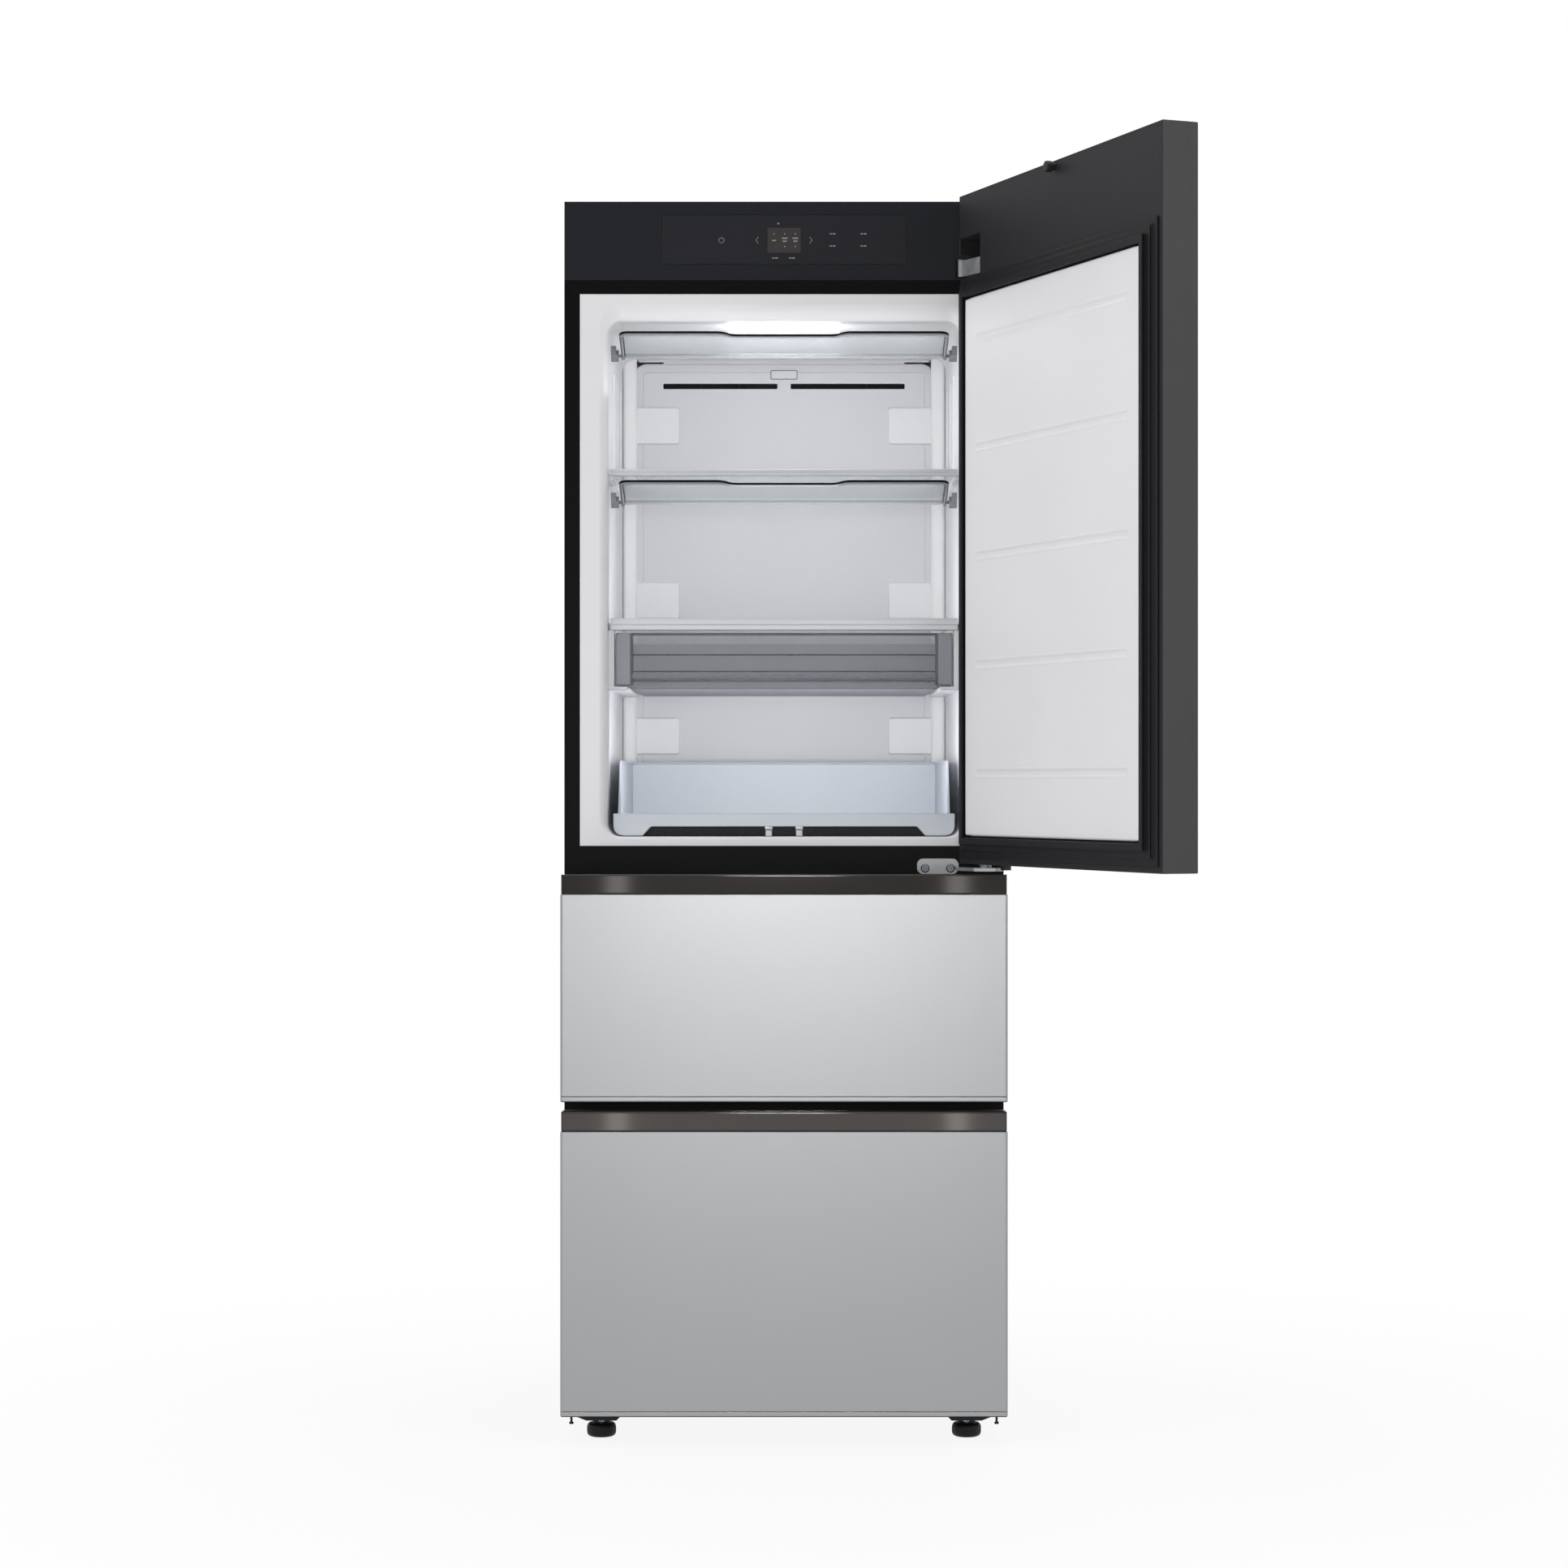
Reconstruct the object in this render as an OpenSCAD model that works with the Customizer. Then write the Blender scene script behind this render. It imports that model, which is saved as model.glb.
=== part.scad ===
// Column refrigerator for kimchi: one hinged door over two pull-out drawers.
// Frame: floor at z = 0, under the middle of the box round the part with its door open, front faces -Y.
// The modules work in depth behind the closed front plane; at_front() moves them into the frame.

/* [Overall] */
// Floor to the top of the door
total_h = 1860; // [1750:5:1950]
// Width of the cabinet
body_w = 660; // [640:5:720]
// Closed door front to the rear face
depth = 737; // [720:1:800]
// How far the door and drawer fronts stand past the cabinet on each side
front_over = 2; // [1:0.5:3]

/* [Front layout] */
// Floor to the underside of the low drawer front
front_bottom = 44; // [40:1:52]
// Height of the low drawer front with its trim
low_front_h = 452; // [440:1:480]
// Height of the middle drawer front with its trim
mid_front_h = 337; // [320:1:360]
// Gap above each drawer front
front_gap = 15; // [14:1:18]
// Height of a handle trim
trim_h = 28; // [24:1:32]
// Shadow line between a drawer skin and its trim
trim_line = 1.5; // [1:0.5:3]
// Thickness of the door and drawer fronts
front_t = 54; // [52:1:60]
// Space for the gasket between a front and the cabinet face
seal_t = 16; // [15:0.5:18]
// How far a gasket stops short of the cabinet face
seal_gap = 0.3; // [0.3:0.1:0.5]

/* [Door swing] */
// Door opening at rest, as in the photo
door_angle = 111; // [100:1:115]
// Hinge pin to the side edge of the door
pivot_in = 32; // [31:0.5:34]
// Hinge pin to the front face of the door
pivot_back = 26; // [25:0.5:28]
// Radius of the hinge pins
hinge_pin_r = 5; // [4:0.5:6]
// Running clearance of a pin in its bore
run_gap = 0.05; // [0.02:0.01:0.1]

/* [Cabinet] */
// Floor to the underside of the base plate
base_h = 32; // [30:1:36]
// Sheet thickness of the shell, base and rear panel
sheet_t = 1; // [0.8:0.1:1.5]
// Thickness of the front frame
frame_t = 2; // [1.5:0.5:3]
// Width of the frame strip at each side
frame_w = 23.3; // [20:0.1:28]
// Height of the header
header_h = 118; // [112:1:130]
// Depth of the header pan
header_d = 10; // [8:1:14]
// How far the cabinet top lies below the door top
top_drop = 3; // [2:0.5:5]
// Wall of the liners
liner_t = 2; // [1.5:0.5:3]

/* [Upper compartment] */
// Half width of the cavity
cave_x = 265.5; // [255:0.5:268]
// Half width of the cavity at the rear wall
back_x = 247; // [240:0.5:250]
// Height of the cavity ceiling below the header
ceiling_drop = 59; // [50:1:70]
// Depth of the duct panel behind the closed front
duct_y = 590; // [570:1:600]
// Height of the upper glass below the header
shelf_a_drop = 289; // [275:1:300]
// Height of the lower glass below the header
shelf_b_drop = 514; // [505:1:525]
// Thickness of the glass shelves
glass_t = 4; // [3:0.5:5]
// Front of the shelf trims behind the closed front
shelf_y = 88; // [86:1:92]
// Height of the chill tray section
tray_h = 85; // [75:1:95]
// Half width of the chill tray
tray_x = 254; // [245:0.5:254]
// Half width of the bottom bin front
bin_front_x = 257.5; // [245:0.5:257.5]
// Side height of the bottom bin above the compartment floor
bin_side_h = 115; // [100:1:130]
// Length of a cold-air guard flap
guard_len = 97; // [85:1:98]
// Angle of a raised guard above level
guard_raise = 14; // [8:1:15]

/* [Drawers] */
// Half width of the drawer cavities
drawer_x = 262; // [255:0.5:264]
// Half height of the fixed rails
rail_hh = 22; // [20:1:24]
// Length of the fixed rails
rail_len = 450; // [430:5:460]
// Wall of the drawer bins
bin_t = 2.5; // [2:0.5:3]
// Height of the machine compartment
machine_h = 230; // [220:1:235]
// Front of the machine compartment behind the closed front
machine_y = 535; // [530:1:545]

/* [Feet] */
// Radius of the levelling feet
foot_r = 22; // [18:1:24]
// Height of the foot knobs
foot_h = 22; // [20:1:24]
// Side of the cabinet to the middle of a foot
foot_in = 55; // [45:1:65]
// Radius of the rear rollers
roller_r = 15; // [12:0.5:15]

/* [Hidden] */
front_x = body_w / 2 + front_over;
low_z0 = front_bottom;
low_z1 = low_z0 + low_front_h;
mid_z0 = low_z1 + front_gap;
mid_z1 = mid_z0 + mid_front_h;
door_z0 = mid_z1 + front_gap;
door_z1 = total_h;
face_y = front_t + seal_t;
wall_y = face_y + frame_t;
side_x = body_w / 2;
top_z = total_h - top_drop;
header_z0 = top_z - header_h;
floor_z = base_h + 1.5;
pivot_x = front_x - pivot_in;
open_x = side_x - frame_w;
up_z0 = door_z0 + 26;
up_z1 = header_z0 - 21;
mid_o0 = mid_z0 + 24;
mid_o1 = mid_z1 - 22;
low_o0 = low_z0 + 28;
low_o1 = low_z1 - 22;
cave_z0 = up_z0 + 14;
cave_z1 = header_z0 - ceiling_drop;
mouth_x = cave_x + 6.5;
mouth_z1 = up_z1 - 21;
step_y = wall_y + 20;
back_y = duct_y + 65;
pinch_y = duct_y - 15;
glass_a = header_z0 - shelf_a_drop;
glass_b = header_z0 - shelf_b_drop;
tray_z1 = glass_b - 15;
tray_z0 = tray_z1 - tray_h;
guard_a = cave_z1 - 40;
guard_b = glass_a - 35;
guard_y = shelf_y + 107;
skin_y = 14;
skin_t = 1.5;
machine_z1 = floor_z + machine_h;
rear_y = depth - sheet_t;
roller_y = depth - 47;
pocket_z0 = header_z0 - 12;
pocket_z1 = pocket_z0 + 70;
arm_z0 = header_z0 + 5;
arm_z1 = arm_z0 + 24;
seat_z0 = door_z0 + 8;
seat_z1 = header_z0 - 4;
step_z = machine_z1 + 26;
mid_rail_z = mid_o0 + 155;
low_rail_z = step_z + rail_hh + 28.5;
bin_y1 = duct_y - 30;
foot_y = face_y + 18;
foot_x = side_x - foot_in;

// Middle of the box round the part, between the closed drawers or rear face and the open door
door_end_x = pivot_x - (front_x - 3.5 + pivot_x) * cos(door_angle) + pivot_back * sin(door_angle);
door_end_y = pivot_back - (front_x + pivot_x) * sin(door_angle) + (front_t - pivot_back) * cos(door_angle);
box_mid_x = (door_end_x - front_x) / 2;
box_mid_y = (door_end_y + depth) / 2;

$fn = 48;

// ---- helpers ----

module at_front() {
  translate([-box_mid_x, -box_mid_y, 0]) children();
}

module block(x0, x1, y0, y1, z0, z1) {
  translate([x0, y0, z0]) cube([x1 - x0, y1 - y0, z1 - z0]);
}

module pair() {
  children();
  mirror([1, 0, 0]) children();
}

// A rectangle with round corners
module round_rect(x0, x1, z0, z1, r) {
  translate([x0 + r, z0]) square([x1 - x0 - 2 * r, z1 - z0]);
  translate([x0, z0 + r]) square([x1 - x0, z1 - z0 - 2 * r]);
  for (x = [x0 + r, x1 - r], z = [z0 + r, z1 - r])
    translate([x, z]) circle(r);
}

// A slab with round corners seen from the front, from depth y0 to y1
module slab(x0, x1, y0, y1, z0, z1, r) {
  translate([0, y1, 0]) rotate([90, 0, 0]) linear_extrude(y1 - y0) round_rect(x0, x1, z0, z1, r);
}

// A front outline given as (x, z), from depth y0 to y1
module face_cut(y0, y1, points) {
  translate([0, y1, 0]) rotate([90, 0, 0]) linear_extrude(y1 - y0) polygon(points);
}

// A side outline given as (y, z), from x0 to x1
module side_cut(x0, x1, points) {
  translate([x0, 0, 0]) rotate([90, 0, 90]) linear_extrude(x1 - x0) polygon(points);
}

module rod_x(x0, x1, y, z, r) {
  translate([x0, y, z]) rotate([0, 90, 0]) cylinder(h = x1 - x0, r = r);
}

module rod_y(x, y0, y1, z, r) {
  translate([x, y0, z]) rotate([-90, 0, 0]) cylinder(h = y1 - y0, r = r);
}

module rod_z(x, y, z0, z1, r) {
  translate([x, y, z0]) cylinder(h = z1 - z0, r = r);
}

// The closed door turned to its rest angle
module swing_door() {
  at_front() translate([pivot_x, pivot_back, 0]) rotate([0, 0, door_angle])
    translate([-pivot_x, -pivot_back, 0]) children();
}

// A level guard turned up to its rest angle
module swing_guard(z) {
  at_front() translate([0, guard_y, z]) rotate([-guard_raise, 0, 0]) children();
}

// ---- cabinet ----

module cabinet_shell() {
  color("#26272a") at_front() {
    pair() {
      block(side_x - sheet_t, side_x, wall_y, rear_y, base_h, header_z0);
      block(side_x - sheet_t, side_x, face_y + header_d, rear_y, header_z0, top_z);
    }
    block(-side_x + sheet_t, side_x - sheet_t, face_y + header_d, rear_y, top_z - sheet_t, top_z);
  }
}

module front_frame() {
  color("#141517") at_front() difference() {
    block(-side_x, side_x, face_y, wall_y, base_h, header_z0);
    for (o = [[up_z0, up_z1], [mid_o0, mid_o1], [low_o0, low_o1]])
      block(-open_x, open_x, face_y - 1, wall_y + 1, o[0], o[1]);
    for (x = [middle_screw_a, middle_screw_b])
      rod_y(x, face_y - 1, wall_y + 1, middle_hinge_z, screw_r);
  }
}

module rear_panel() {
  color("#9a9c9e") at_front() difference() {
    block(-side_x, side_x, rear_y, depth, machine_z1, top_z);
    for (x = [-180, 0, 180])
      slab(x - 2, x + 2, rear_y - 1, depth - sheet_t / 2, machine_z1 + 120, top_z - 120, 1.9);
  }
}

module base_plate() {
  color("#5c5f62") at_front() {
    difference() {
      block(-side_x + sheet_t, side_x - sheet_t, wall_y, rear_y, base_h, floor_z);
      pair() rod_z(foot_x, foot_y, base_h - 1, floor_z + 1, 6);
    }
    pair() {
      for (x = [foot_x - 8, foot_x + 18])
        difference() {
          union() {
            block(x, x + 3, roller_y - roller_r + 5, roller_y + roller_r - 5, roller_r, base_h);
            rod_x(x, x + 3, roller_y, roller_r, roller_r - 5);
          }
          block(x - 1, x + 4, roller_y - 20, roller_y + 20, base_h, base_h + 10);
        }
      rod_x(foot_x - 5, foot_x + 18, roller_y, roller_r, 4);
    }
  }
}

module upper_void(t) {
  slab(-mouth_x - t, mouth_x + t, face_y - 1, step_y + t, cave_z0 - t, mouth_z1 + t, 28 + t);
  slab(-cave_x - t, cave_x + t, face_y, back_y + t, cave_z0 - t, cave_z1 + t, 20 + t);
}

module mid_void(t) {
  slab(-drawer_x - t, drawer_x + t, face_y - 1, duct_y + 10 + t, mid_o0 + 12 - t, mid_o1 - 12 + t, 14 + t);
}

module low_void(t) {
  slab(-drawer_x - t, drawer_x + t, face_y - 1, machine_y - 35 + t, low_o0 + 14 - t, low_o1 - 12 + t, 14 + t);
  slab(-drawer_x - t, drawer_x + t, face_y - 1, duct_y + 10 + t, step_z - t, low_o1 - 12 + t, 14 + t);
}

// The foam stops square round the liners, whose own corners are round
module insulation() {
  t = liner_t;
  color("#e6d9a8") at_front() difference() {
    union() {
      block(-side_x + sheet_t, side_x - sheet_t, wall_y, rear_y, floor_z, header_z0);
      block(-side_x + sheet_t, side_x - sheet_t, face_y + header_d, rear_y, header_z0, top_z - sheet_t);
    }
    block(-mouth_x - t, mouth_x + t, face_y, step_y + t, cave_z0 - t, mouth_z1 + t);
    block(-cave_x - t, cave_x + t, face_y, back_y + t, cave_z0 - t, cave_z1 + t);
    block(-drawer_x - t, drawer_x + t, face_y, duct_y + 10 + t, mid_o0 + 12 - t, mid_o1 - 12 + t);
    block(-drawer_x - t, drawer_x + t, face_y, machine_y - 35 + t, low_o0 + 14 - t, low_o1 - 12 + t);
    block(-drawer_x - t, drawer_x + t, face_y, duct_y + 10 + t, step_z - t, low_o1 - 12 + t);
    block(-side_x, side_x, machine_y, depth, 0, machine_z1);
    for (x = [middle_screw_a, middle_screw_b])
      rod_y(x, face_y, face_y + 14, middle_hinge_z, screw_r);
    for (z = top_screws)
      rod_y(top_screw_x, face_y, face_y + header_d + 12, z, screw_r);
  }
}

module upper_liner() {
  color("#eceef0") at_front() {
    difference() {
      union() {
        block(-open_x, open_x, face_y, wall_y, up_z0, up_z1);
        intersection() {
          upper_void(liner_t);
          block(-open_x, open_x, face_y, back_y + liner_t, up_z0, up_z1);
        }
      }
      upper_void(0);
    }
    // ledges under the two glass shelves
    pair() for (z = [glass_a, glass_b])
      block(cave_x - 8, cave_x, shelf_y + 22, bin_y1, z - 8, z);
    // faint upright ribs of the side walls
    pair() for (y = [shelf_y + 190, shelf_y + 300, shelf_y + 410])
      block(cave_x - 1.5, cave_x, y, y + 6, glass_a + 20, cave_z1 - 60);
  }
}

module mid_liner() {
  color("#e4e6e8") at_front() difference() {
    union() {
      block(-open_x, open_x, face_y, wall_y, mid_o0, mid_o1);
      intersection() {
        mid_void(liner_t);
        block(-open_x, open_x, face_y, depth, mid_o0, mid_o1);
      }
    }
    mid_void(0);
  }
}

module low_liner() {
  color("#e4e6e8") at_front() difference() {
    union() {
      block(-open_x, open_x, face_y, wall_y, low_o0, low_o1);
      intersection() {
        low_void(liner_t);
        block(-open_x, open_x, face_y, depth, low_o0, low_o1);
      }
    }
    low_void(0);
  }
}

// ---- header ----

panel_x = 182;
panel_z0 = header_z0 + 24;
panel_z1 = header_z0 + 98;
screw_r = 2.5;
middle_hinge_z = (mid_z1 + door_z0) / 2 + 1.5;
middle_screw_a = pivot_x - 88;
middle_screw_b = pivot_x - 50;
top_screw_x = pivot_x + 8;
top_screws = [arm_z1 + 16, arm_z1 + 56];

module header_fascia() {
  color("#22252a") at_front() difference() {
    block(-side_x, side_x, face_y, face_y + header_d, header_z0, top_z);
    block(-side_x + 3, side_x - 3, face_y + 3, face_y + header_d + 1, header_z0 + 3, top_z - 3);
    block(-panel_x, panel_x, face_y - 1, face_y + 4, panel_z0, panel_z1);
    block(pivot_x - 42, pivot_x - 4, face_y - 1, face_y + 4, arm_z0 - 2, arm_z1 + 2);
  }
}

module touch_panel() {
  color("#1d2026") at_front() difference() {
    union() {
      block(-panel_x + 0.3, panel_x - 0.3, face_y, face_y + 3, panel_z0 + 0.3, panel_z1 - 0.3);
      block(-panel_x + 5, panel_x - 5, face_y + 3, face_y + header_d, panel_z0 + 5, panel_z1 - 5);
    }
    // display window, a shallow step in the glass
    block(-25, 25, face_y - 1, face_y + 0.4, panel_z0 + 17, panel_z0 + 55);
  }
}

// ---- upper compartment fittings ----

module duct_panel() {
  color("#e2e4e8") at_front() {
    difference() {
      slab(-back_x + 0.3, back_x - 0.3, duct_y, duct_y + 4, cave_z0 + 0.3, cave_z1 - 5, 20);
      pair() block(11, 199, duct_y - 1, duct_y + 5, cave_z1 - 47, cave_z1 - 38);
    }
    // thin ribs at the back of the two air slots
    pair() for (x = [11 + 62, 11 + 125])
      block(x, x + 2, duct_y + 2, duct_y + 4, cave_z1 - 48, cave_z1 - 37);
    // upright round columns that close the rear corners
    pair() slab_flat(back_x - 5, cave_x - 0.3, pinch_y, duct_y + 4, cave_z0 + 20.5, cave_z1 - 20.5, 7);
    slab(-21, 21, duct_y - 5, duct_y, cave_z1 - 30, cave_z1 - 17, 2);
    for (z = [glass_a + 92, glass_b + 29, tray_z0 - 94])
      pair() block(back_x - 75, back_x - 1, duct_y - 7, duct_y, z, z + 60);
  }
}

module lamp_cover() {
  color("#ffffff") at_front() slab(-85, 85, step_y + 33, step_y + 98, cave_z1 - 6, cave_z1, 2.5);
}

module shelf_glass() {
  color("#cfe0e2", 0.4) at_front() for (z = [glass_a, glass_b])
    block(-cave_x + 3.5, cave_x - 3.5, shelf_y + 8, bin_y1 - 5, z, z + glass_t);
}

module trim_bar(z, below) {
  difference() {
    side_cut(-cave_x + 3.5, cave_x - 3.5, [
      [shelf_y + 1.5, z - below],
      [shelf_y + 20, z - below],
      [shelf_y + 20, z + glass_t + 2],
      [shelf_y + 14, z + glass_t + 3],
      [shelf_y + 1.5, z + glass_t + 3],
      [shelf_y, z + glass_t + 1.5],
      [shelf_y, z - below + 1.5]
    ]);
    block(-cave_x, cave_x, shelf_y + 8, shelf_y + 21, z, z + glass_t);
  }
}

module shelf_trim() {
  color("#c9d2da") at_front() {
    trim_bar(glass_a, 3);
    trim_bar(glass_b, 11);
  }
}

module tray_frame() {
  color("#eef0f2") at_front() pair() {
    block(tray_x + 2, cave_x, shelf_y + 5, bin_y1 - 20, tray_z0 - 1, glass_b - 11);
    block(tray_x - 18, tray_x + 2, shelf_y + 5, bin_y1 - 20, tray_z0 - 1, tray_z0 + 4);
  }
}

module guard_bracket() {
  color("#a9abae") at_front() for (z = [guard_a, guard_b])
    pair() difference() {
      union() {
        rod_x(tray_x, cave_x, guard_y, z, 9);
        block(tray_x + 4, cave_x, guard_y - 14, guard_y + 9, z, z + 14);
      }
      rod_x(tray_x - 1, cave_x - 3, guard_y, z, 2.5 + run_gap);
    }
}

module evaporator() {
  color("#b9bdc2") at_front() {
    difference() {
      block(-188, 188, duct_y + 14, duct_y + 52, cave_z0 + 160, cave_z0 + 380);
      for (x = [-176:32:176])
        block(x - 6, x + 6, duct_y + 13, duct_y + 46, cave_z0 + 166, cave_z0 + 374);
    }
    pair() for (z = [185, 245, 305])
      difference() {
        translate([188, duct_y + 33, cave_z0 + z]) rotate([90, 0, 0]) cylinder(h = 8, r = 19, center = true);
        translate([188, duct_y + 33, cave_z0 + z]) rotate([90, 0, 0]) cylinder(h = 10, r = 11, center = true);
        block(0, 188, duct_y, duct_y + 60, cave_z0 + 100, cave_z0 + 400);
      }
    // pads that stand it off the rear wall of the liner
    pair() for (z = [180, 340])
      block(150, 170, duct_y + 52, back_y, cave_z0 + z, cave_z0 + z + 20);
    // suction line up to the fan housing
    rod_z(-210, duct_y + 33, cave_z0 + 245, cave_z0 + 560, 4);
    rod_x(-210, -186, duct_y + 33, cave_z0 + 245, 4);
  }
}

fan_z = cave_z0 + 480;

module fan_shroud() {
  color("#d4d6d9") at_front() {
    difference() {
      slab(-95, 95, duct_y + 4, duct_y + 8, fan_z - 80, fan_z + 80, 10);
      rod_y(0, duct_y + 3, duct_y + 9, fan_z, 62);
    }
    for (x = [-88, 82])
      block(x, x + 6, duct_y + 8, back_y, fan_z - 60, fan_z + 60);
    difference() {
      union() {
        rod_y(0, duct_y + 42, back_y, fan_z, 20);
        block(-84, 84, duct_y + 52, back_y, fan_z - 7, fan_z + 7);
      }
      rod_y(0, duct_y + 41, duct_y + 58, fan_z, 3 + run_gap);
    }
  }
}

module blades(count, r, span, turn) {
  for (i = [0:count - 1])
    rotate([0, 0, i * 360 / count]) translate([r / 2, 0, 0]) rotate([turn, 0, 0])
      cube([r - 2, span, 1.6], center = true);
}

module evap_fan() {
  color("#3a3c40") at_front() {
    rod_y(0, duct_y + 16, duct_y + 38, fan_z, 17);
    rod_y(0, duct_y + 38, duct_y + 56, fan_z, 3);
    translate([0, duct_y + 27, fan_z]) rotate([-90, 0, 0]) blades(7, 56, 26, 32);
  }
}

// ---- hinges ----

arm_turn = 30;
arm_root_x = pivot_x - (face_y + 6 - pivot_back) * tan(arm_turn);

module hinge_top() {
  color("#b8babd") at_front() difference() {
    union() {
      rod_z(pivot_x, pivot_back, pocket_z0 - 22, arm_z1, hinge_pin_r);
      rod_z(pivot_x, pivot_back, arm_z0, arm_z1, 9);
      translate([pivot_x, pivot_back, arm_z0]) rotate([0, 0, arm_turn])
        translate([-7, 0, 0]) cube([14, (face_y - pivot_back) / cos(arm_turn) + 3, arm_z1 - arm_z0]);
      block(pivot_x - 38, pivot_x + 20, face_y + header_d - 4, face_y + header_d, arm_z0, arm_z1 + 70);
      block(pivot_x - 38, pivot_x - 10, face_y + 1, face_y + header_d - 4, arm_z0, arm_z1);
    }
    for (z = top_screws)
      rod_y(top_screw_x, face_y, face_y + header_d + 1, z, screw_r);
  }
}

module hinge_middle() {
  color("#c3c6c8") at_front() difference() {
    union() {
      slab(pivot_x - 100, pivot_x - 38, face_y - 3, face_y, mid_z1 - 1, door_z0 + 7, 9);
      translate([0, 0, middle_hinge_z - 5]) linear_extrude(5) polygon([
        [pivot_x - 43, face_y],
        [pivot_x - 43, face_y - 9],
        [pivot_x - 18, pivot_back - 14],
        [pivot_x - 8, pivot_back - 20],
        [pivot_x + 14, pivot_back - 20],
        [pivot_x + 25, pivot_back - 10],
        [pivot_x + 25, pivot_back + 12],
        [pivot_x, face_y]
      ]);
      rod_z(pivot_x, pivot_back, middle_hinge_z, door_z0 - 0.3, 9);
      rod_z(pivot_x, pivot_back, middle_hinge_z, door_z0 + 22, hinge_pin_r);
    }
    for (x = [middle_screw_a, middle_screw_b])
      rod_y(x, face_y - 4, face_y + 1, middle_hinge_z, screw_r);
  }
}

module hinge_screw() {
  color("#8d9094") at_front() {
    for (x = [middle_screw_a, middle_screw_b]) {
      rod_y(x, face_y - 3, face_y + 12, middle_hinge_z, screw_r - run_gap);
      screw_head(x, face_y - 3, middle_hinge_z);
    }
    for (z = top_screws) {
      rod_y(top_screw_x, face_y + header_d - 4, face_y + header_d + 10, z, screw_r - run_gap);
      screw_head(top_screw_x, face_y + header_d - 4, z);
    }
  }
}

module screw_head(x, y, z) {
  difference() {
    rod_y(x, y - 2.5, y, z, 5);
    block(x - 3.5, x + 3.5, y - 3, y - 1.3, z - 0.6, z + 0.6);
    block(x - 0.6, x + 0.6, y - 3, y - 1.3, z - 3.5, z + 3.5);
  }
}

// ---- machine compartment ----

comp_x = 180 - side_x;
comp_y = (machine_y + rear_y) / 2;
comp_z = floor_z + 12;
comp_r = 66;
dryer_x = side_x - 30;
condenser_x1 = side_x - 60;
fan_x = condenser_x1 - 250;

module compressor() {
  color("#1b1c1e") at_front() {
    translate([comp_x, comp_y, comp_z]) rotate_extrude() polygon([
      [0, 0], [comp_r - 14, 0], [comp_r, 14], [comp_r, 62], [comp_r + 3, 62], [comp_r + 3, 68],
      [comp_r, 68], [comp_r, 112], [comp_r - 12, 132], [comp_r - 36, 142], [0, 144]
    ]);
    for (x = [comp_x - 80, comp_x + 80], y = [comp_y - 50, comp_y + 50])
      rod_z(x, y, comp_z, comp_z + 3, 14);
    block(comp_x - 84, comp_x + 84, comp_y - 58, comp_y - 40, comp_z, comp_z + 3);
    block(comp_x - 84, comp_x + 84, comp_y + 40, comp_y + 58, comp_z, comp_z + 3);
    block(comp_x - 20, comp_x + 20, comp_y - 86, comp_y - 60, comp_z + 50, comp_z + 100);
  }
}

module compressor_mount() {
  color("#2b2b2b") at_front() for (x = [comp_x - 80, comp_x + 80], y = [comp_y - 50, comp_y + 50])
    rod_z(x, y, floor_z, comp_z, 11);
}

module condenser() {
  color("#6e7276") at_front() {
    difference() {
      block(condenser_x1 - 150, condenser_x1, machine_y + 25, rear_y - 25, floor_z, floor_z + 170);
      for (z = [8:27:150])
        block(condenser_x1 - 151, condenser_x1 + 1, machine_y + 29, rear_y - 29, floor_z + z, floor_z + z + 13);
    }
  }
}

module condenser_shroud() {
  color("#2f3033") at_front() {
    difference() {
      block(fan_x, fan_x + 4, machine_y + 10, rear_y - 10, floor_z, floor_z + 180);
      rod_x(fan_x - 1, fan_x + 5, comp_y, floor_z + 88, 70);
    }
    difference() {
      union() {
        rod_x(fan_x + 50, fan_x + 76, comp_y, floor_z + 88, 20);
        block(fan_x + 68, fan_x + 76, comp_y - 9, comp_y + 9, floor_z, floor_z + 88);
      }
      rod_x(fan_x + 49, fan_x + 64, comp_y, floor_z + 88, 3 + run_gap);
    }
    block(fan_x + 4, fan_x + 76, comp_y - 9, comp_y + 9, floor_z, floor_z + 4);
  }
}

module condenser_fan() {
  color("#44464a") at_front() {
    rod_x(fan_x + 18, fan_x + 44, comp_y, floor_z + 88, 18);
    rod_x(fan_x + 44, fan_x + 62, comp_y, floor_z + 88, 3);
    translate([fan_x + 31, comp_y, floor_z + 88]) rotate([0, 90, 0]) blades(5, 64, 34, 35);
  }
}

// A slab with round corners seen from above
module slab_flat(x0, x1, y0, y1, z0, z1, r) {
  translate([0, 0, z0]) linear_extrude(z1 - z0) round_rect(x0, x1, y0, y1, r);
}

module pipework() {
  color("#b5793f") at_front() {
    // dryer and the lines at its ends
    rod_z(dryer_x, comp_y, floor_z + 40, floor_z + 120, 9);
    rod_z(dryer_x, comp_y, floor_z + 8, machine_z1, 3);
    rod_x(condenser_x1, dryer_x + 3, comp_y, floor_z + 8, 3);
    // discharge line along the front wall of the compartment
    rod_z(comp_x + 90, machine_y + 12, floor_z + 60, machine_z1, 3);
    rod_y(comp_x + 90, machine_y + 12, machine_y + 100, floor_z + 63, 3);
    rod_x(comp_x + comp_r + 0.3, comp_x + 90, machine_y + 100, floor_z + 63, 3);
  }
}

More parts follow.
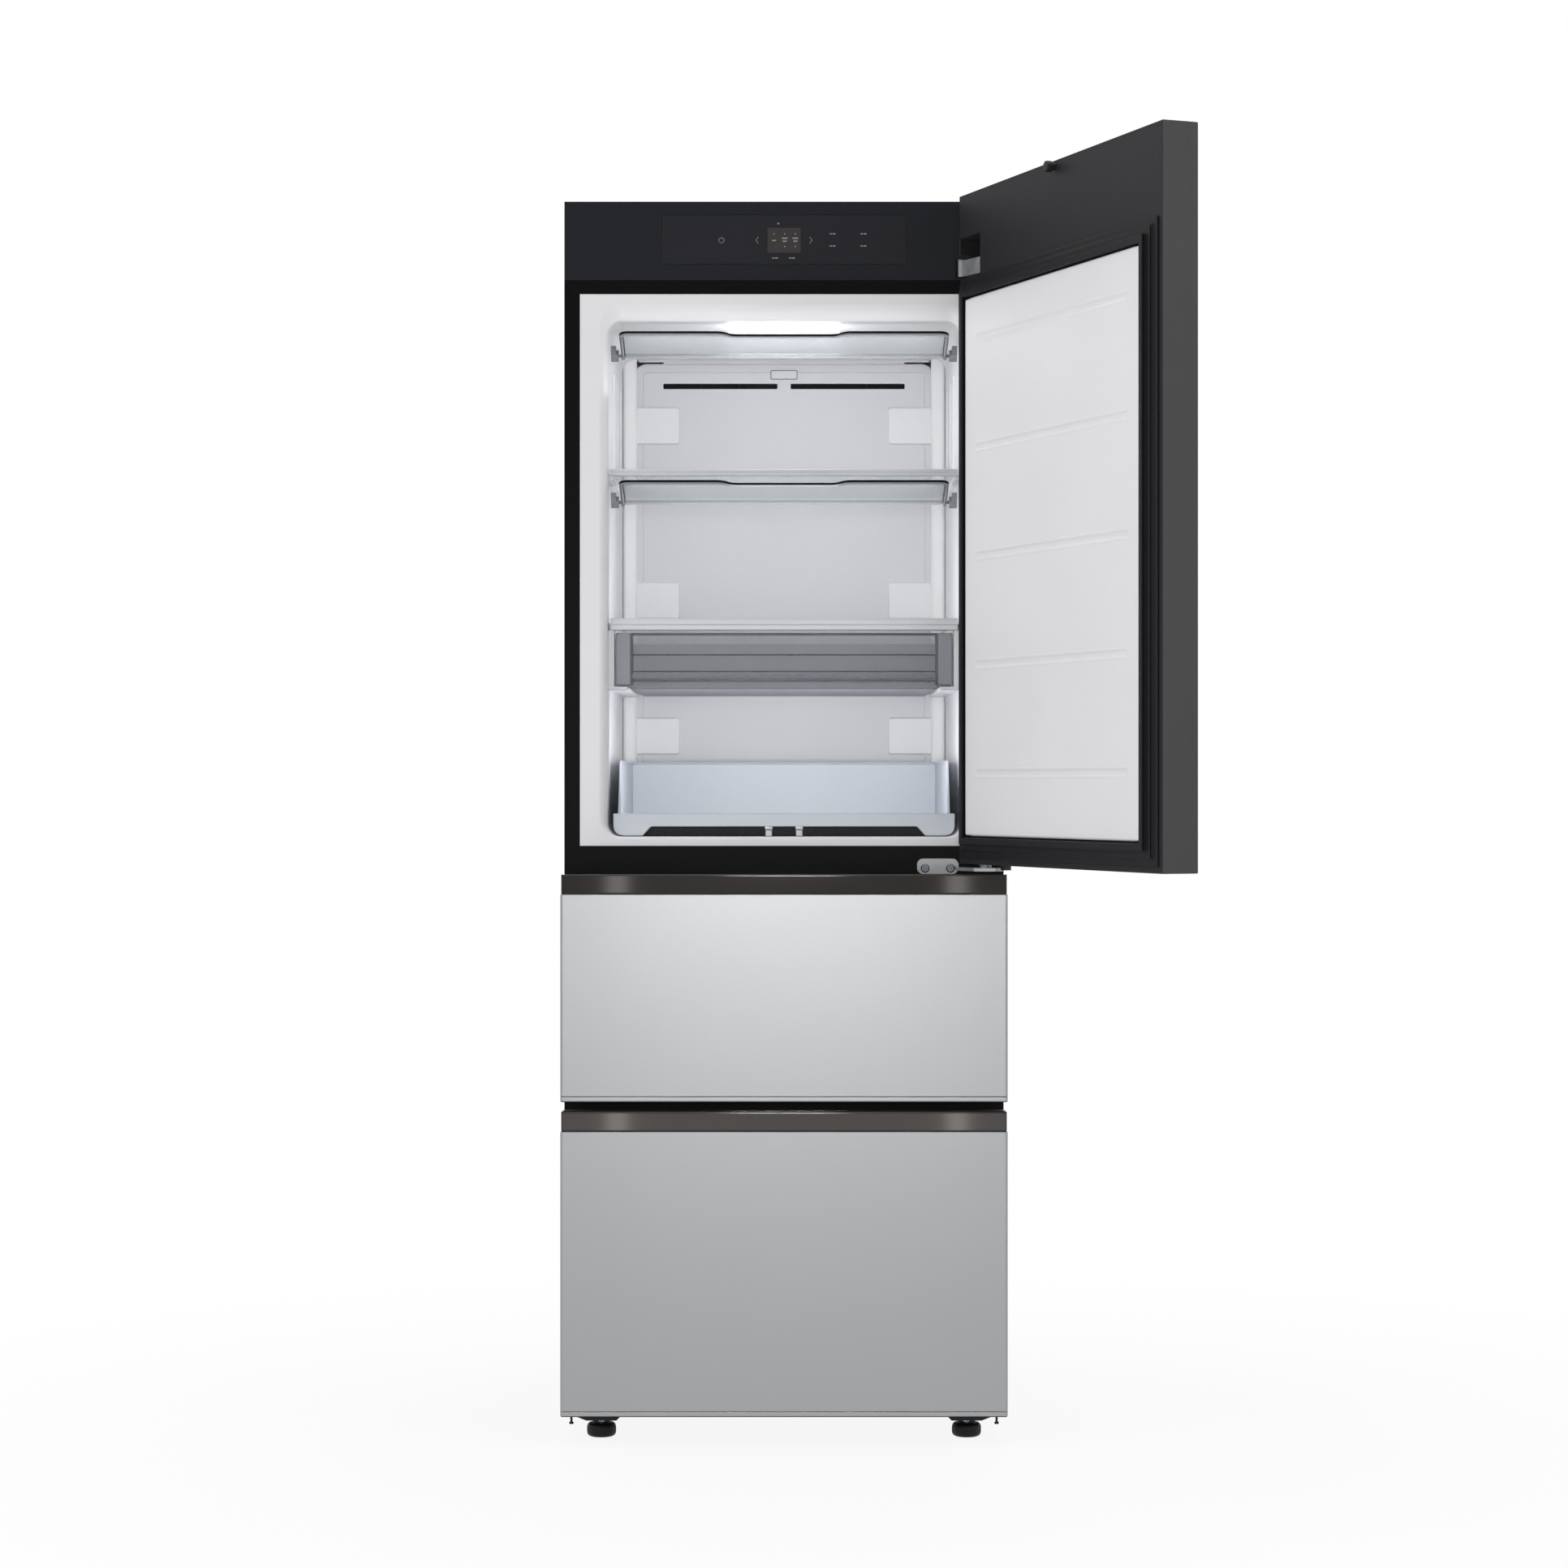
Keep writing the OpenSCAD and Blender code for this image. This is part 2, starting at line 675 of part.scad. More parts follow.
module machine_cover() {
  color("#77797c") at_front() difference() {
    block(-side_x, side_x, rear_y, depth, base_h, machine_z1);
    for (x = [80:30:290], z = [floor_z + 20, floor_z + 100])
      block(x, x + 16, rear_y - 1, depth + 1, z, z + 60);
    for (x = [-290:30:-80], z = [floor_z + 20, floor_z + 100])
      block(x, x + 16, rear_y - 1, depth + 1, z, z + 60);
    rod_y(0, rear_y - 1, depth + 1, floor_z + 40, 8);
  }
}

module cord_inlet() {
  color("#161616") at_front() {
    rod_y(0, rear_y - 6, depth, floor_z + 40, 8 - run_gap);
    rod_y(0, rear_y - 6, rear_y, floor_z + 40, 13);
  }
}

// ---- feet ----

module foot_bracket() {
  color("#1c1d1f") at_front() pair() {
    difference() {
      face_cut(wall_y, wall_y + 34, [
        [foot_x - 30, base_h], [foot_x - 23, foot_h + 3], [foot_x + 22, foot_h + 3], [foot_x + 40, base_h]
      ]);
      rod_z(foot_x, foot_y, foot_h, base_h + 1, 5 + run_gap);
    }
    // small corner pin
    rod_z(foot_x + 45, wall_y + 8, base_h - 10, base_h, 1.8);
    rod_z(foot_x + 45, wall_y + 8, base_h - 13, base_h - 10, 3.4);
  }
}

module foot(side) {
  translate([side * foot_x, foot_y, 0]) {
    rotate_extrude() polygon([
      [0, 0], [foot_r - 5, 0], [foot_r - 1, 4], [foot_r, 8], [foot_r, foot_h - 5], [foot_r - 3, foot_h - 2],
      [12, foot_h - 2], [12, foot_h], [5, foot_h], [5, base_h + 1.2], [0, base_h + 1.2]
    ]);
  }
}

module foot_left() {
  color("#18191b") at_front() foot(-1);
}

module foot_right() {
  color("#18191b") at_front() foot(1);
}

module rear_rollers() {
  color("#303134") at_front() pair() difference() {
    rod_x(foot_x - 4.7, foot_x + 17.7, roller_y, roller_r, roller_r);
    rod_x(foot_x - 6, foot_x + 19, roller_y, roller_r, 4 + run_gap);
  }
}

// ---- door ----

// Plan of the space inside a folded skin, between depths skin_t and skin_y
module skin_inside(z0, z1) {
  translate([0, 0, z0]) linear_extrude(z1 - z0) polygon([
    [-front_x + skin_t, skin_y], [-front_x + skin_t, 4.6], [-front_x + 4.1, skin_t],
    [front_x - 4.1, skin_t], [front_x - skin_t, 4.6], [front_x - skin_t, skin_y]
  ]);
}

module folded_skin(z0, z1) {
  difference() {
    translate([0, 0, z0]) linear_extrude(z1 - z0) polygon([
      [-front_x, skin_y], [-front_x, 4], [-front_x + 3.5, 0],
      [front_x - 3.5, 0], [front_x, 4], [front_x, skin_y]
    ]);
    translate([0, 0, z0 - 1]) linear_extrude(z1 - z0 + 2) polygon([
      [-front_x + skin_t, skin_y + 1], [-front_x + skin_t, 4.6], [-front_x + 4.1, skin_t],
      [front_x - 4.1, skin_t], [front_x - skin_t, 4.6], [front_x - skin_t, skin_y + 1]
    ]);
  }
}

liner_x = front_x - 44;
liner_z0 = seat_z0 + 34;
liner_z1 = seat_z1 - 34;

module door_skin() {
  color("#c7c9ca") swing_door() folded_skin(door_z0, door_z1);
}

module pocket(t) {
  block(pivot_x - 43 - t, front_x + 1 - t * 0, skin_y, front_t + 1, pocket_z0 - t, pocket_z1 + t);
}

module door_case() {
  color("#3b3a3e") swing_door() difference() {
    union() {
      difference() {
        block(-front_x, front_x, skin_y, front_t, door_z0, door_z1);
        block(-front_x + 3, front_x - 3, skin_y - 1, front_t - 3, door_z0 + 3, door_z1 - 3);
        block(-liner_x, liner_x, front_t - 4, front_t + 1, liner_z0, liner_z1);
      }
      skin_inside(door_z0, door_z0 + 3);
      skin_inside(door_z1 - 3, door_z1);
      // walls of the hinge pocket
      block(pivot_x - 45.5, front_x - 3, skin_y, front_t - 3, pocket_z0 - 2.5, pocket_z1 + 2.5);
      // bearing blocks
      block(pivot_x - 14, pivot_x + 14, skin_y, front_t - 3, pocket_z0 - 24, pocket_z0 - 2.5);
      block(pivot_x - 14, pivot_x + 14, skin_y, front_t - 3, door_z0 + 3, door_z0 + 28);
    }
    pocket(0);
    rod_z(pivot_x, pivot_back, pocket_z0 - 22.5, pocket_z0 + 1, hinge_pin_r + run_gap);
    rod_z(pivot_x, pivot_back, door_z0 - 1, door_z0 + 22.5, hinge_pin_r + run_gap);
  }
}

module door_foam() {
  color("#e9dfb5") swing_door() difference() {
    union() {
      skin_inside(door_z0 + 3, door_z1 - 3);
      block(-front_x + 3, front_x - 3, skin_y, front_t - 3, door_z0 + 3, door_z1 - 3);
      block(-liner_x + 2, liner_x - 2, front_t - 3, front_t + 9, liner_z0 + 2, liner_z1 - 2);
    }
    block(pivot_x - 45.5, front_x, skin_y, front_t, pocket_z0 - 2.5, pocket_z1 + 2.5);
    block(pivot_x - 14, pivot_x + 14, skin_y, front_t - 3, pocket_z0 - 24, pocket_z0);
    block(pivot_x - 14, pivot_x + 14, skin_y, front_t - 3, door_z0, door_z0 + 28);
  }
}

groove_top = cave_z1 - 40;
groove_step = (groove_top - cave_z0 - 97) / 4;

module door_liner() {
  color("#eceef1") swing_door() difference() {
    block(-liner_x, liner_x, front_t - 3, front_t + 11, liner_z0, liner_z1);
    block(-liner_x + 2, liner_x - 2, front_t - 4, front_t + 9, liner_z0 + 2, liner_z1 - 2);
    for (i = [0:4])
      block(-244, 244, front_t + 10, front_t + 12, groove_top - i * groove_step - 4, groove_top - i * groove_step);
  }
}

// One step of a gasket ring: outer edge drawn in by e
module seal_ring(x, z0, z1, w, e, y0, y1) {
  difference() {
    block(-x + e, x - e, y0, y1, z0 + e, z1 - e);
    block(-x + w, x - w, y0 - 1, y1 + 1, z0 + w, z1 - w);
  }
}

module door_gasket() {
  color("#1b1c1f") swing_door() {
    seal_ring(front_x - 10, seat_z0, seat_z1, 32, 0, front_t, front_t + 4);
    seal_ring(front_x - 10, seat_z0, seat_z1, 32, 10, front_t + 4, front_t + 9);
    seal_ring(front_x - 10, seat_z0, seat_z1, 32, 21, front_t + 9, face_y - seal_gap);
  }
}

module door_bumper() {
  color("#111214") swing_door() {
    rod_y(0, front_t, front_t + 5, door_z1 - 9, 5);
    rod_y(0, front_t + 5, face_y - seal_gap, door_z1 - 9, 8);
  }
}

module door_stop() {
  color("#111214") swing_door()
    slab_flat(pivot_x - 42, pivot_x - 28, 2, 15, door_z0 - 9, door_z0, 3);
}

// ---- drawers ----

module drawer_skin(z0, z1) {
  folded_skin(z0, z1 - trim_h - trim_line);
}

// Handle trim: a channel open upwards, gripped over its front wall
module drawer_trim(z1) {
  difference() {
    side_cut(-front_x + 1.5, front_x - 1.5, [
      [2.5, z1 - trim_h - trim_line], [34, z1 - trim_h - trim_line], [34, z1 - 1], [31, z1 - 1],
      [31, z1 - 22], [6, z1 - 22], [6, z1 - 2], [4.5, z1], [1.5, z1], [0.5, z1 - 1],
      [0.5, z1 - trim_h], [2.5, z1 - trim_h]
    ]);
    block(-front_x, front_x, -1, 0.4, z1 - 40, z1 + 1);
  }
  pair() block(front_x - 4.5, front_x - 1.5, 6, 31, z1 - 22, z1 - 1);
}

module drawer_inner(z0, z1) {
  skin_inside(z0, z1 - trim_h - trim_line);
  block(-front_x + 1, front_x - 1, skin_y, front_t, z0, z1 - trim_h - trim_line);
  block(-front_x + 1, front_x - 1, 34, front_t, z1 - trim_h - trim_line, z1 - 2);
}

module drawer_gasket(o0, o1) {
  seal_ring(front_x - 10, o0 - 14, o1 + 14, 28, 0, front_t, front_t + 5);
  seal_ring(front_x - 10, o0 - 14, o1 + 14, 28, 8, front_t + 5, face_y - seal_gap);
}

module mid_skin() {
  color("#cdcfd0") at_front() drawer_skin(mid_z0, mid_z1);
}

module low_skin() {
  color("#a8aaab") at_front() drawer_skin(low_z0, low_z1);
}

module mid_trim() {
  color("#3c3937") at_front() drawer_trim(mid_z1);
}

module low_trim() {
  color("#3c3937") at_front() drawer_trim(low_z1);
}

module mid_inner() {
  color("#7c7d7f") at_front() drawer_inner(mid_z0, mid_z1);
}

module low_inner() {
  color("#7c7d7f") at_front() drawer_inner(low_z0, low_z1);
}

module mid_gasket() {
  color("#1b1c1f") at_front() drawer_gasket(mid_o0, mid_o1);
}

module low_gasket() {
  color("#1b1c1f") at_front() drawer_gasket(low_o0, low_o1);
}

// Half widths of the nested rails, from the cavity wall inwards
stage_x = drawer_x - 5.5;
slide_x = drawer_x - 11;
bin_x = drawer_x - 28;

module fixed_rail(z) {
  pair() difference() {
    block(drawer_x - 14, drawer_x, wall_y + 18, wall_y + 18 + rail_len, z - rail_hh, z + rail_hh);
    block(drawer_x - 15, drawer_x - 2.5, wall_y + 17, wall_y + 19 + rail_len, z - rail_hh + 2, z + rail_hh - 2);
  }
}

module rail_fixed() {
  color("#b4b7ba") at_front() {
    fixed_rail(mid_rail_z);
    fixed_rail(low_rail_z);
  }
}

module stage_rail(z) {
  h = rail_hh - 2.3;
  pair() difference() {
    block(stage_x - 10.5, stage_x, wall_y + 18, wall_y + 8 + rail_len, z - h, z + h);
    block(stage_x - 11, stage_x - 2.5, wall_y + 17, wall_y + 9 + rail_len, z - h + 2, z + h - 2);
  }
}

module slide_rail(z) {
  h = rail_hh - 4.6;
  pair() {
    block(slide_x - 5, slide_x, front_t + 3, wall_y + 8 + rail_len, z - h, z + h);
    block(bin_x + 2, slide_x - 5, front_t + 3, bin_y1, z - h, z - h + 3);
    block(bin_x + 2, slide_x, front_t, front_t + 3, z - h - 12, z + h + 12);
  }
}

module mid_rail() {
  color("#c0c3c6") at_front() slide_rail(mid_rail_z);
}

module low_rail() {
  color("#c0c3c6") at_front() slide_rail(low_rail_z);
}

module mid_rail_stage() {
  color("#aeb1b4") at_front() stage_rail(mid_rail_z);
}

module low_rail_stage() {
  color("#aeb1b4") at_front() stage_rail(low_rail_z);
}

module bin_flange(z) {
  h = rail_hh - 4.6;
  pair() block(bin_x, slide_x - 6, front_t + 6, bin_y1, z - h + 3, z - h + 6);
}

module mid_bin() {
  color("#d7dade") at_front() {
    difference() {
      slab_flat(-bin_x, bin_x, front_t + 6, bin_y1, mid_o0 + 22, mid_o1 - 36, 16);
      slab_flat(-bin_x + bin_t, bin_x - bin_t, front_t + 6 + bin_t, bin_y1 - bin_t,
        mid_o0 + 22 + bin_t, mid_o1, 16 - bin_t);
    }
    intersection() {
      bin_flange(mid_rail_z);
      block(-drawer_x, drawer_x, front_t + 22, bin_y1 - 16, mid_o0, mid_o1);
    }
  }
}

module low_bin() {
  color("#d7dade") at_front() {
    difference() {
      union() {
        slab_flat(-bin_x, bin_x, front_t + 6, machine_y - 55, low_o0 + 28, low_o1 - 36, 16);
        slab_flat(-bin_x, bin_x, front_t + 6, bin_y1, step_z + 14, low_o1 - 36, 16);
      }
      slab_flat(-bin_x + bin_t, bin_x - bin_t, front_t + 6 + bin_t, machine_y - 55 - bin_t,
        low_o0 + 28 + bin_t, low_o1, 16 - bin_t);
      slab_flat(-bin_x + bin_t, bin_x - bin_t, front_t + 6 + bin_t, bin_y1 - bin_t,
        step_z + 14 + bin_t, low_o1, 16 - bin_t);
    }
    intersection() {
      bin_flange(low_rail_z);
      block(-drawer_x, drawer_x, front_t + 22, bin_y1 - 16, low_o0, low_o1);
    }
  }
}

// ---- guards, tray and bin of the upper compartment ----

// Flap drawn level, reaching forward from its pivot
module guard() {
  half = tray_x - 4;
  // thin clear sheet with the finger notch
  translate([0, 0, -1.2]) linear_extrude(2.4) difference() {
    translate([-half + 4, -guard_len + 4]) square([2 * half - 8, guard_len - 4]);
    polygon([[-94, -guard_len - 1], [-80, -guard_len + 14], [80, -guard_len + 14], [94, -guard_len - 1]]);
  }
  // stiff edge bars either side of the notch
  pair() translate([0, 0, -3]) linear_extrude(6) polygon([
    [94, -guard_len], [half - 8, -guard_len], [half, -guard_len + 8], [half, 0], [half - 5, 0],
    [half - 5, -guard_len + 10], [half - 10, -guard_len + 5], [91, -guard_len + 5], [80, -guard_len + 18],
    [0, -guard_len + 18], [0, -guard_len + 13], [78, -guard_len + 13]
  ]);
  rod_x(-half, half, 0, 0, 3.6);
  pair() {
    rod_x(half - 5, half, 0, 0, 6);
    rod_x(half, tray_x + 7, 0, 0, 2.5);
  }
}

module guard_upper() {
  color("#bfc6cc", 0.45) swing_guard(guard_a) guard();
}

module guard_lower() {
  color("#bfc6cc", 0.45) swing_guard(guard_b) guard();
}

module tray_outline(t) {
  polygon([
    [-tray_x + t, tray_z1 + t * 2], [-tray_x + t, tray_z0 + 4.3 + t], [-tray_x + 19.5 + t / 2, tray_z0 + 4.3 + t],
    [-tray_x + 24 + t / 2, tray_z0 - 1 + t], [tray_x - 24 - t / 2, tray_z0 - 1 + t],
    [tray_x - 19.5 - t / 2, tray_z0 + 4.3 + t], [tray_x - t, tray_z0 + 4.3 + t], [tray_x - t, tray_z1 + t * 2]
  ]);
}

module chill_tray() {
  tray_y1 = bin_y1 - 28;
  color("#8f949c", 0.6) at_front() {
    difference() {
      translate([0, tray_y1, 0]) rotate([90, 0, 0]) linear_extrude(tray_y1 - shelf_y - 5) tray_outline(0);
      translate([0, tray_y1 - 3, 0]) rotate([90, 0, 0]) linear_extrude(tray_y1 - shelf_y - 11) tray_outline(3);
    }
    // upright webs behind the front wall and the pull lip on it
    pair() block(tray_x - 23, tray_x - 20, shelf_y + 8, shelf_y + 24, tray_z0 + 4, tray_z1 - 4);
    side_cut(-tray_x + 24, tray_x - 24, [
      [shelf_y + 5, tray_z0 + 22], [shelf_y + 5, tray_z0 + 16], [shelf_y, tray_z0 + 18], [shelf_y, tray_z0 + 21]
    ]);
  }
}

module bottom_bin() {
  z0 = cave_z0;
  color("#c4ccd6") at_front() {
    // low front with the hand recess below it
    translate([0, shelf_y + 5, 0]) rotate([90, 0, 0]) linear_extrude(5) difference() {
      round_rect(-bin_front_x, bin_front_x, z0 + 1, z0 + 60, 18);
      polygon([[-212, z0], [-200, z0 + 15], [200, z0 + 15], [212, z0]]);
      translate([-bin_front_x - 1, z0 + 34.5]) square([2 * bin_front_x + 2, 30]);
    }
    difference() {
      side_cut(-bin_front_x + 7, bin_front_x - 7, [
        [shelf_y + 5, z0 + 9], [shelf_y + 5, z0 + 34], [shelf_y + 62, z0 + bin_side_h],
        [bin_y1, z0 + bin_side_h], [bin_y1, z0 + 9]
      ]);
      block(-bin_front_x + 10, bin_front_x - 10, shelf_y + 8, bin_y1 - 3, z0 + 12, z0 + bin_side_h + 1);
    }
    for (x = [-bin_front_x + 26, -23, 23, bin_front_x - 26])
      block(x - 5, x + 5, shelf_y + 8, bin_y1 - 10, z0 + 0.3, z0 + 9);
  }
}

cabinet_shell();
front_frame();
rear_panel();
base_plate();
insulation();
upper_liner();
mid_liner();
low_liner();
header_fascia();
touch_panel();
duct_panel();
lamp_cover();
shelf_glass();
shelf_trim();
tray_frame();
guard_bracket();
evaporator();
fan_shroud();
hinge_top();
hinge_middle();
hinge_screw();
compressor();
compressor_mount();
condenser();
condenser_shroud();
pipework();
machine_cover();
cord_inlet();
foot_bracket();
rail_fixed();
door_skin();
door_case();
door_foam();
door_liner();
door_gasket();
door_bumper();
door_stop();
mid_skin();
mid_trim();
mid_inner();
mid_gasket();
mid_bin();
mid_rail();
mid_rail_stage();
low_skin();
low_trim();
low_inner();
low_gasket();
low_bin();
low_rail();
low_rail_stage();
guard_upper();
guard_lower();
chill_tray();
bottom_bin();
evap_fan();
condenser_fan();
foot_left();
foot_right();
rear_rollers();
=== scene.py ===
import math

import bmesh
import bpy
import numpy as np
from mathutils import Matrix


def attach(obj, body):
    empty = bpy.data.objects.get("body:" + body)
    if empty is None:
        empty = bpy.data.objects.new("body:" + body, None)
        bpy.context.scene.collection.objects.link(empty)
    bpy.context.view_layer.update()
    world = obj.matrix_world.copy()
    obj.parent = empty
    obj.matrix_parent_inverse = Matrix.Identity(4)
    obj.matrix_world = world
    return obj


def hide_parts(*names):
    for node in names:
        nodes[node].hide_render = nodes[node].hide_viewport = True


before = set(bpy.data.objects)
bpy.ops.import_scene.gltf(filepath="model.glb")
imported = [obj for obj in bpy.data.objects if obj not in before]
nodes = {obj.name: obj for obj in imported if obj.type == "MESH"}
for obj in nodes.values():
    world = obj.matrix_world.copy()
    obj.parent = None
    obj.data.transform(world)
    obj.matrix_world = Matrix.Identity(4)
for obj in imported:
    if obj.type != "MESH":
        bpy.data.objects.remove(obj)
scene = bpy.context.scene
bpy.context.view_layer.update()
print("frame loaded,", len(nodes), "nodes")

# Pieces are drawn in mm with the door closed: x to the right, y behind the closed front plane,
# z above the floor. The frame's origin lies at middleX, middleY of that drawing.
middleX, middleY = 108.75367368907422, 81.47143393325007
doorPin = (300.0, 26.0)
doorTurn = math.radians(111)
guardPin = 195.0
guardTurn = math.radians(-14)
# in metres: points this close are merged, and edges this short dissolve
mergeWithin, thinEdge = 2e-6, 1e-7
# above 50 the large faces count for more in the shading
faceWeight = 60


def onCabinet(p):
    return (p - [middleX, middleY, 0.0]) / 1000


def onDoor(p):
    # turned about the hinge pin by the open angle
    c, s = math.cos(doorTurn), math.sin(doorTurn)
    x, y = p[:, 0] - doorPin[0], p[:, 1] - doorPin[1]
    return onCabinet(np.stack([doorPin[0] + c * x - s * y, doorPin[1] + s * x + c * y, p[:, 2]], 1))


def onGuard(height):
    # drawn level from its pivot at y = z = 0, then turned up
    c, s = math.cos(guardTurn), math.sin(guardTurn)
    return lambda p: onCabinet(
        np.stack([p[:, 0], guardPin + c * p[:, 1] - s * p[:, 2], height + s * p[:, 1] + c * p[:, 2]], 1)
    )



def quarter(count):
    return np.linspace(0, np.pi / 2, count)


def roundRect(x0, x1, z0, z1, r, steps=6):
    # four quarter circles of radius r about the inset corners, joined by straight sides
    r = max(r, 0.02)
    t = quarter(steps + 1)[None] + (np.arange(4) * np.pi / 2)[:, None]
    cx = np.array([x1 - r, x0 + r, x0 + r, x1 - r])[:, None]
    cz = np.array([z1 - r, z1 - r, z0 + r, z0 + r])[:, None]
    return np.stack([cx + r * np.cos(t), cz + r * np.sin(t)], -1).reshape(-1, 2)


def softened(points, size, steps=4):
    # each corner of a closed outline becomes a parabola between points that far away on its two edges
    p = np.asarray(points, float)
    # no corner takes more than this share of an edge
    most = 0.49
    size = np.broadcast_to(np.asarray(size, float), (len(p),))
    back, ahead = np.roll(p, 1, 0) - p, np.roll(p, -1, 0) - p
    lb, la = np.linalg.norm(back, axis=1), np.linalg.norm(ahead, axis=1)
    a = p + back * (np.minimum(size, most * lb) / lb)[:, None]
    b = p + ahead * (np.minimum(size, most * la) / la)[:, None]
    s = np.linspace(0, 1, steps + 1)[None, :, None]
    curve = (1 - s) ** 2 * a[:, None] + 2 * s * (1 - s) * p[:, None] + s**2 * b[:, None]
    return curve.reshape(-1, p.shape[1])


def drawnIn(loop, by):
    # each point moves inwards along the mean of its two edges' normals
    ahead, behind = np.roll(loop, -1, 0) - loop, loop - np.roll(loop, 1, 0)
    side = lambda e: np.stack([e[:, 1], -e[:, 0]], 1) / np.maximum(np.linalg.norm(e, axis=1), 1e-9)[:, None]
    n1, n2 = side(ahead), side(behind)
    mean = (n1 + n2) / np.maximum(1 + (n1 * n2).sum(1), 0.35)[:, None]
    x, z = loop[:, 0], loop[:, 1]
    turn = np.sign((x * np.roll(z, -1) - np.roll(x, -1) * z).sum())
    return loop - turn * mean * by


def atDepth(loop, y):
    return np.stack([loop[:, 0], np.full(len(loop), float(y)), loop[:, 1]], 1)


def atHeight(loop, z):
    return np.stack([loop[:, 0], loop[:, 1], np.full(len(loop), float(z))], 1)


def atSide(loop, x):
    return np.stack([np.full(len(loop), float(x)), loop[:, 0], loop[:, 1]], 1)


def stacked(rings, ends=(True, True), around=False):
    # closed outlines one after the other, each joined to the next by four-sided faces
    rings = np.asarray(rings, float)
    k, n = rings.shape[:2]
    row, col = np.arange(k if around else k - 1)[:, None], np.arange(n)[None]
    up = (row + 1) % k
    quads = np.stack([row * n + col, row * n + (col + 1) % n, up * n + (col + 1) % n, up * n + col], -1)
    caps = [] if around else [np.arange(n) + e * (k - 1) * n for e in (0, 1) if ends[e]]
    return rings.reshape(-1, 3), quads.reshape(-1, 4), caps


def carried(loop, stations, put):
    # an outline carried along an axis: at each station (position, inset) it is drawn in by the inset
    return stacked([put(drawnIn(loop, inset), at) for at, inset in stations])


def softEnds(start, end, edge, turns=3):
    # stations whose insets follow a quarter circle at both ends
    a = quarter(turns + 1)
    inset, step = edge * (1 - np.sin(a)), edge * (1 - np.cos(a))
    sign = 1 if end > start else -1
    first = [(start + sign * s, i) for s, i in zip(step, inset)]
    return first + [(end - sign * s, i) for s, i in zip(step[::-1], inset[::-1])]


def bar(loop, put, *span):
    # the span says start, end and edge, and may add the number of turns
    return carried(loop, softEnds(*span), put)


def plate(x0, x1, z0, z1, r, front, back, edge=1.0, backEdge=0.0, steps=6):
    # a round-cornered outline from the back to the front, drawn in along a quarter circle at its edges
    stations = softEnds(front, back, edge)
    half = len(stations) // 2
    if backEdge == 0.0:
        stations = stations[:half] + [(back, 0.0)]
    return stacked([
        atDepth(roundRect(x0 + i, x1 - i, z0 + i, z1 - i, r - i, steps), y) for y, i in stations
    ])


def softBlock(x0, x1, y0, y1, z0, z1, e=1.0):
    # a block whose twelve edges are rounded
    return plate(x0, x1, z0, z1, e, y0, y1, e, e, 3)


def turnedShape(profile, centre, axis="z", steps=48, ribs=0, ribDepth=0.0):
    # (radius, along) turned about an axis; ribs add a cosine of the angle, scaled by a third column
    profile = np.asarray(profile, float)
    t = np.linspace(0, 2 * np.pi, steps, endpoint=False)[None]
    r, along = profile[:, 0][:, None], profile[:, 1][:, None]
    if ribs:
        r = r + profile[:, 2][:, None] * ribDepth * (0.5 + 0.5 * np.cos(ribs * t))
    u, v = r * np.cos(t), r * np.sin(t)
    w = np.broadcast_to(along, u.shape)
    order = {"z": (u, v, w), "y": (u, w, v), "x": (w, u, v)}[axis]
    ends = (bool(profile[0, 0] > 1e-6), bool(profile[-1, 0] > 1e-6))
    points, quads, caps = stacked(np.stack(order, -1), ends)
    return points + np.asarray(centre, float), quads, caps


def bentRoute(points, bend, steps=5):
    # an open polyline whose inner corners become parabolas
    p = np.asarray(points, float)
    if len(p) < 3:
        return p
    q = softened(p, bend, steps).reshape(len(p), steps + 1, 3)
    return np.concatenate([p[:1], q[1:-1].reshape(-1, 3), p[-1:]])


def heading(route):
    along = np.gradient(route, axis=0)
    return along / np.linalg.norm(along, axis=1)[:, None]


def swept(route, section, up):
    # a section (across, up) carried along a route that lies square to the up direction
    across = np.cross(heading(route), up)
    ring = across[:, None] * section[None, :, 0, None] + np.array(up) * section[None, :, 1, None]
    return stacked(route[:, None] + ring)


def tube(route, radius, sides=12, flat=1.0):
    # a circle carried along a route, square to it; flat squeezes it along the second direction
    p = np.asarray(route, float)
    along = heading(p)
    first = np.cross(along, [0.31, 0.17, 0.93])
    first /= np.linalg.norm(first, axis=1)[:, None]
    second = np.cross(along, first)
    t = np.linspace(0, 2 * np.pi, sides, endpoint=False)
    u, v = np.cos(t)[None, :, None], np.sin(t)[None, :, None]
    circle = first[:, None] * u + flat * second[:, None] * v
    return stacked(p[:, None] + radius * circle)


def moved(shape, by):
    return shape[0] + np.asarray(by, float), shape[1], shape[2]


def mirrored(shape):
    return shape[0] * [-1.0, 1.0, 1.0], shape[1], shape[2]


def both(*shapes):
    return [*shapes, *[mirrored(s) for s in shapes]]


def swapped(shape, order, signs):
    # axes in another order, each with a sign
    return shape[0][:, order] * np.asarray(signs, float), shape[1], shape[2]


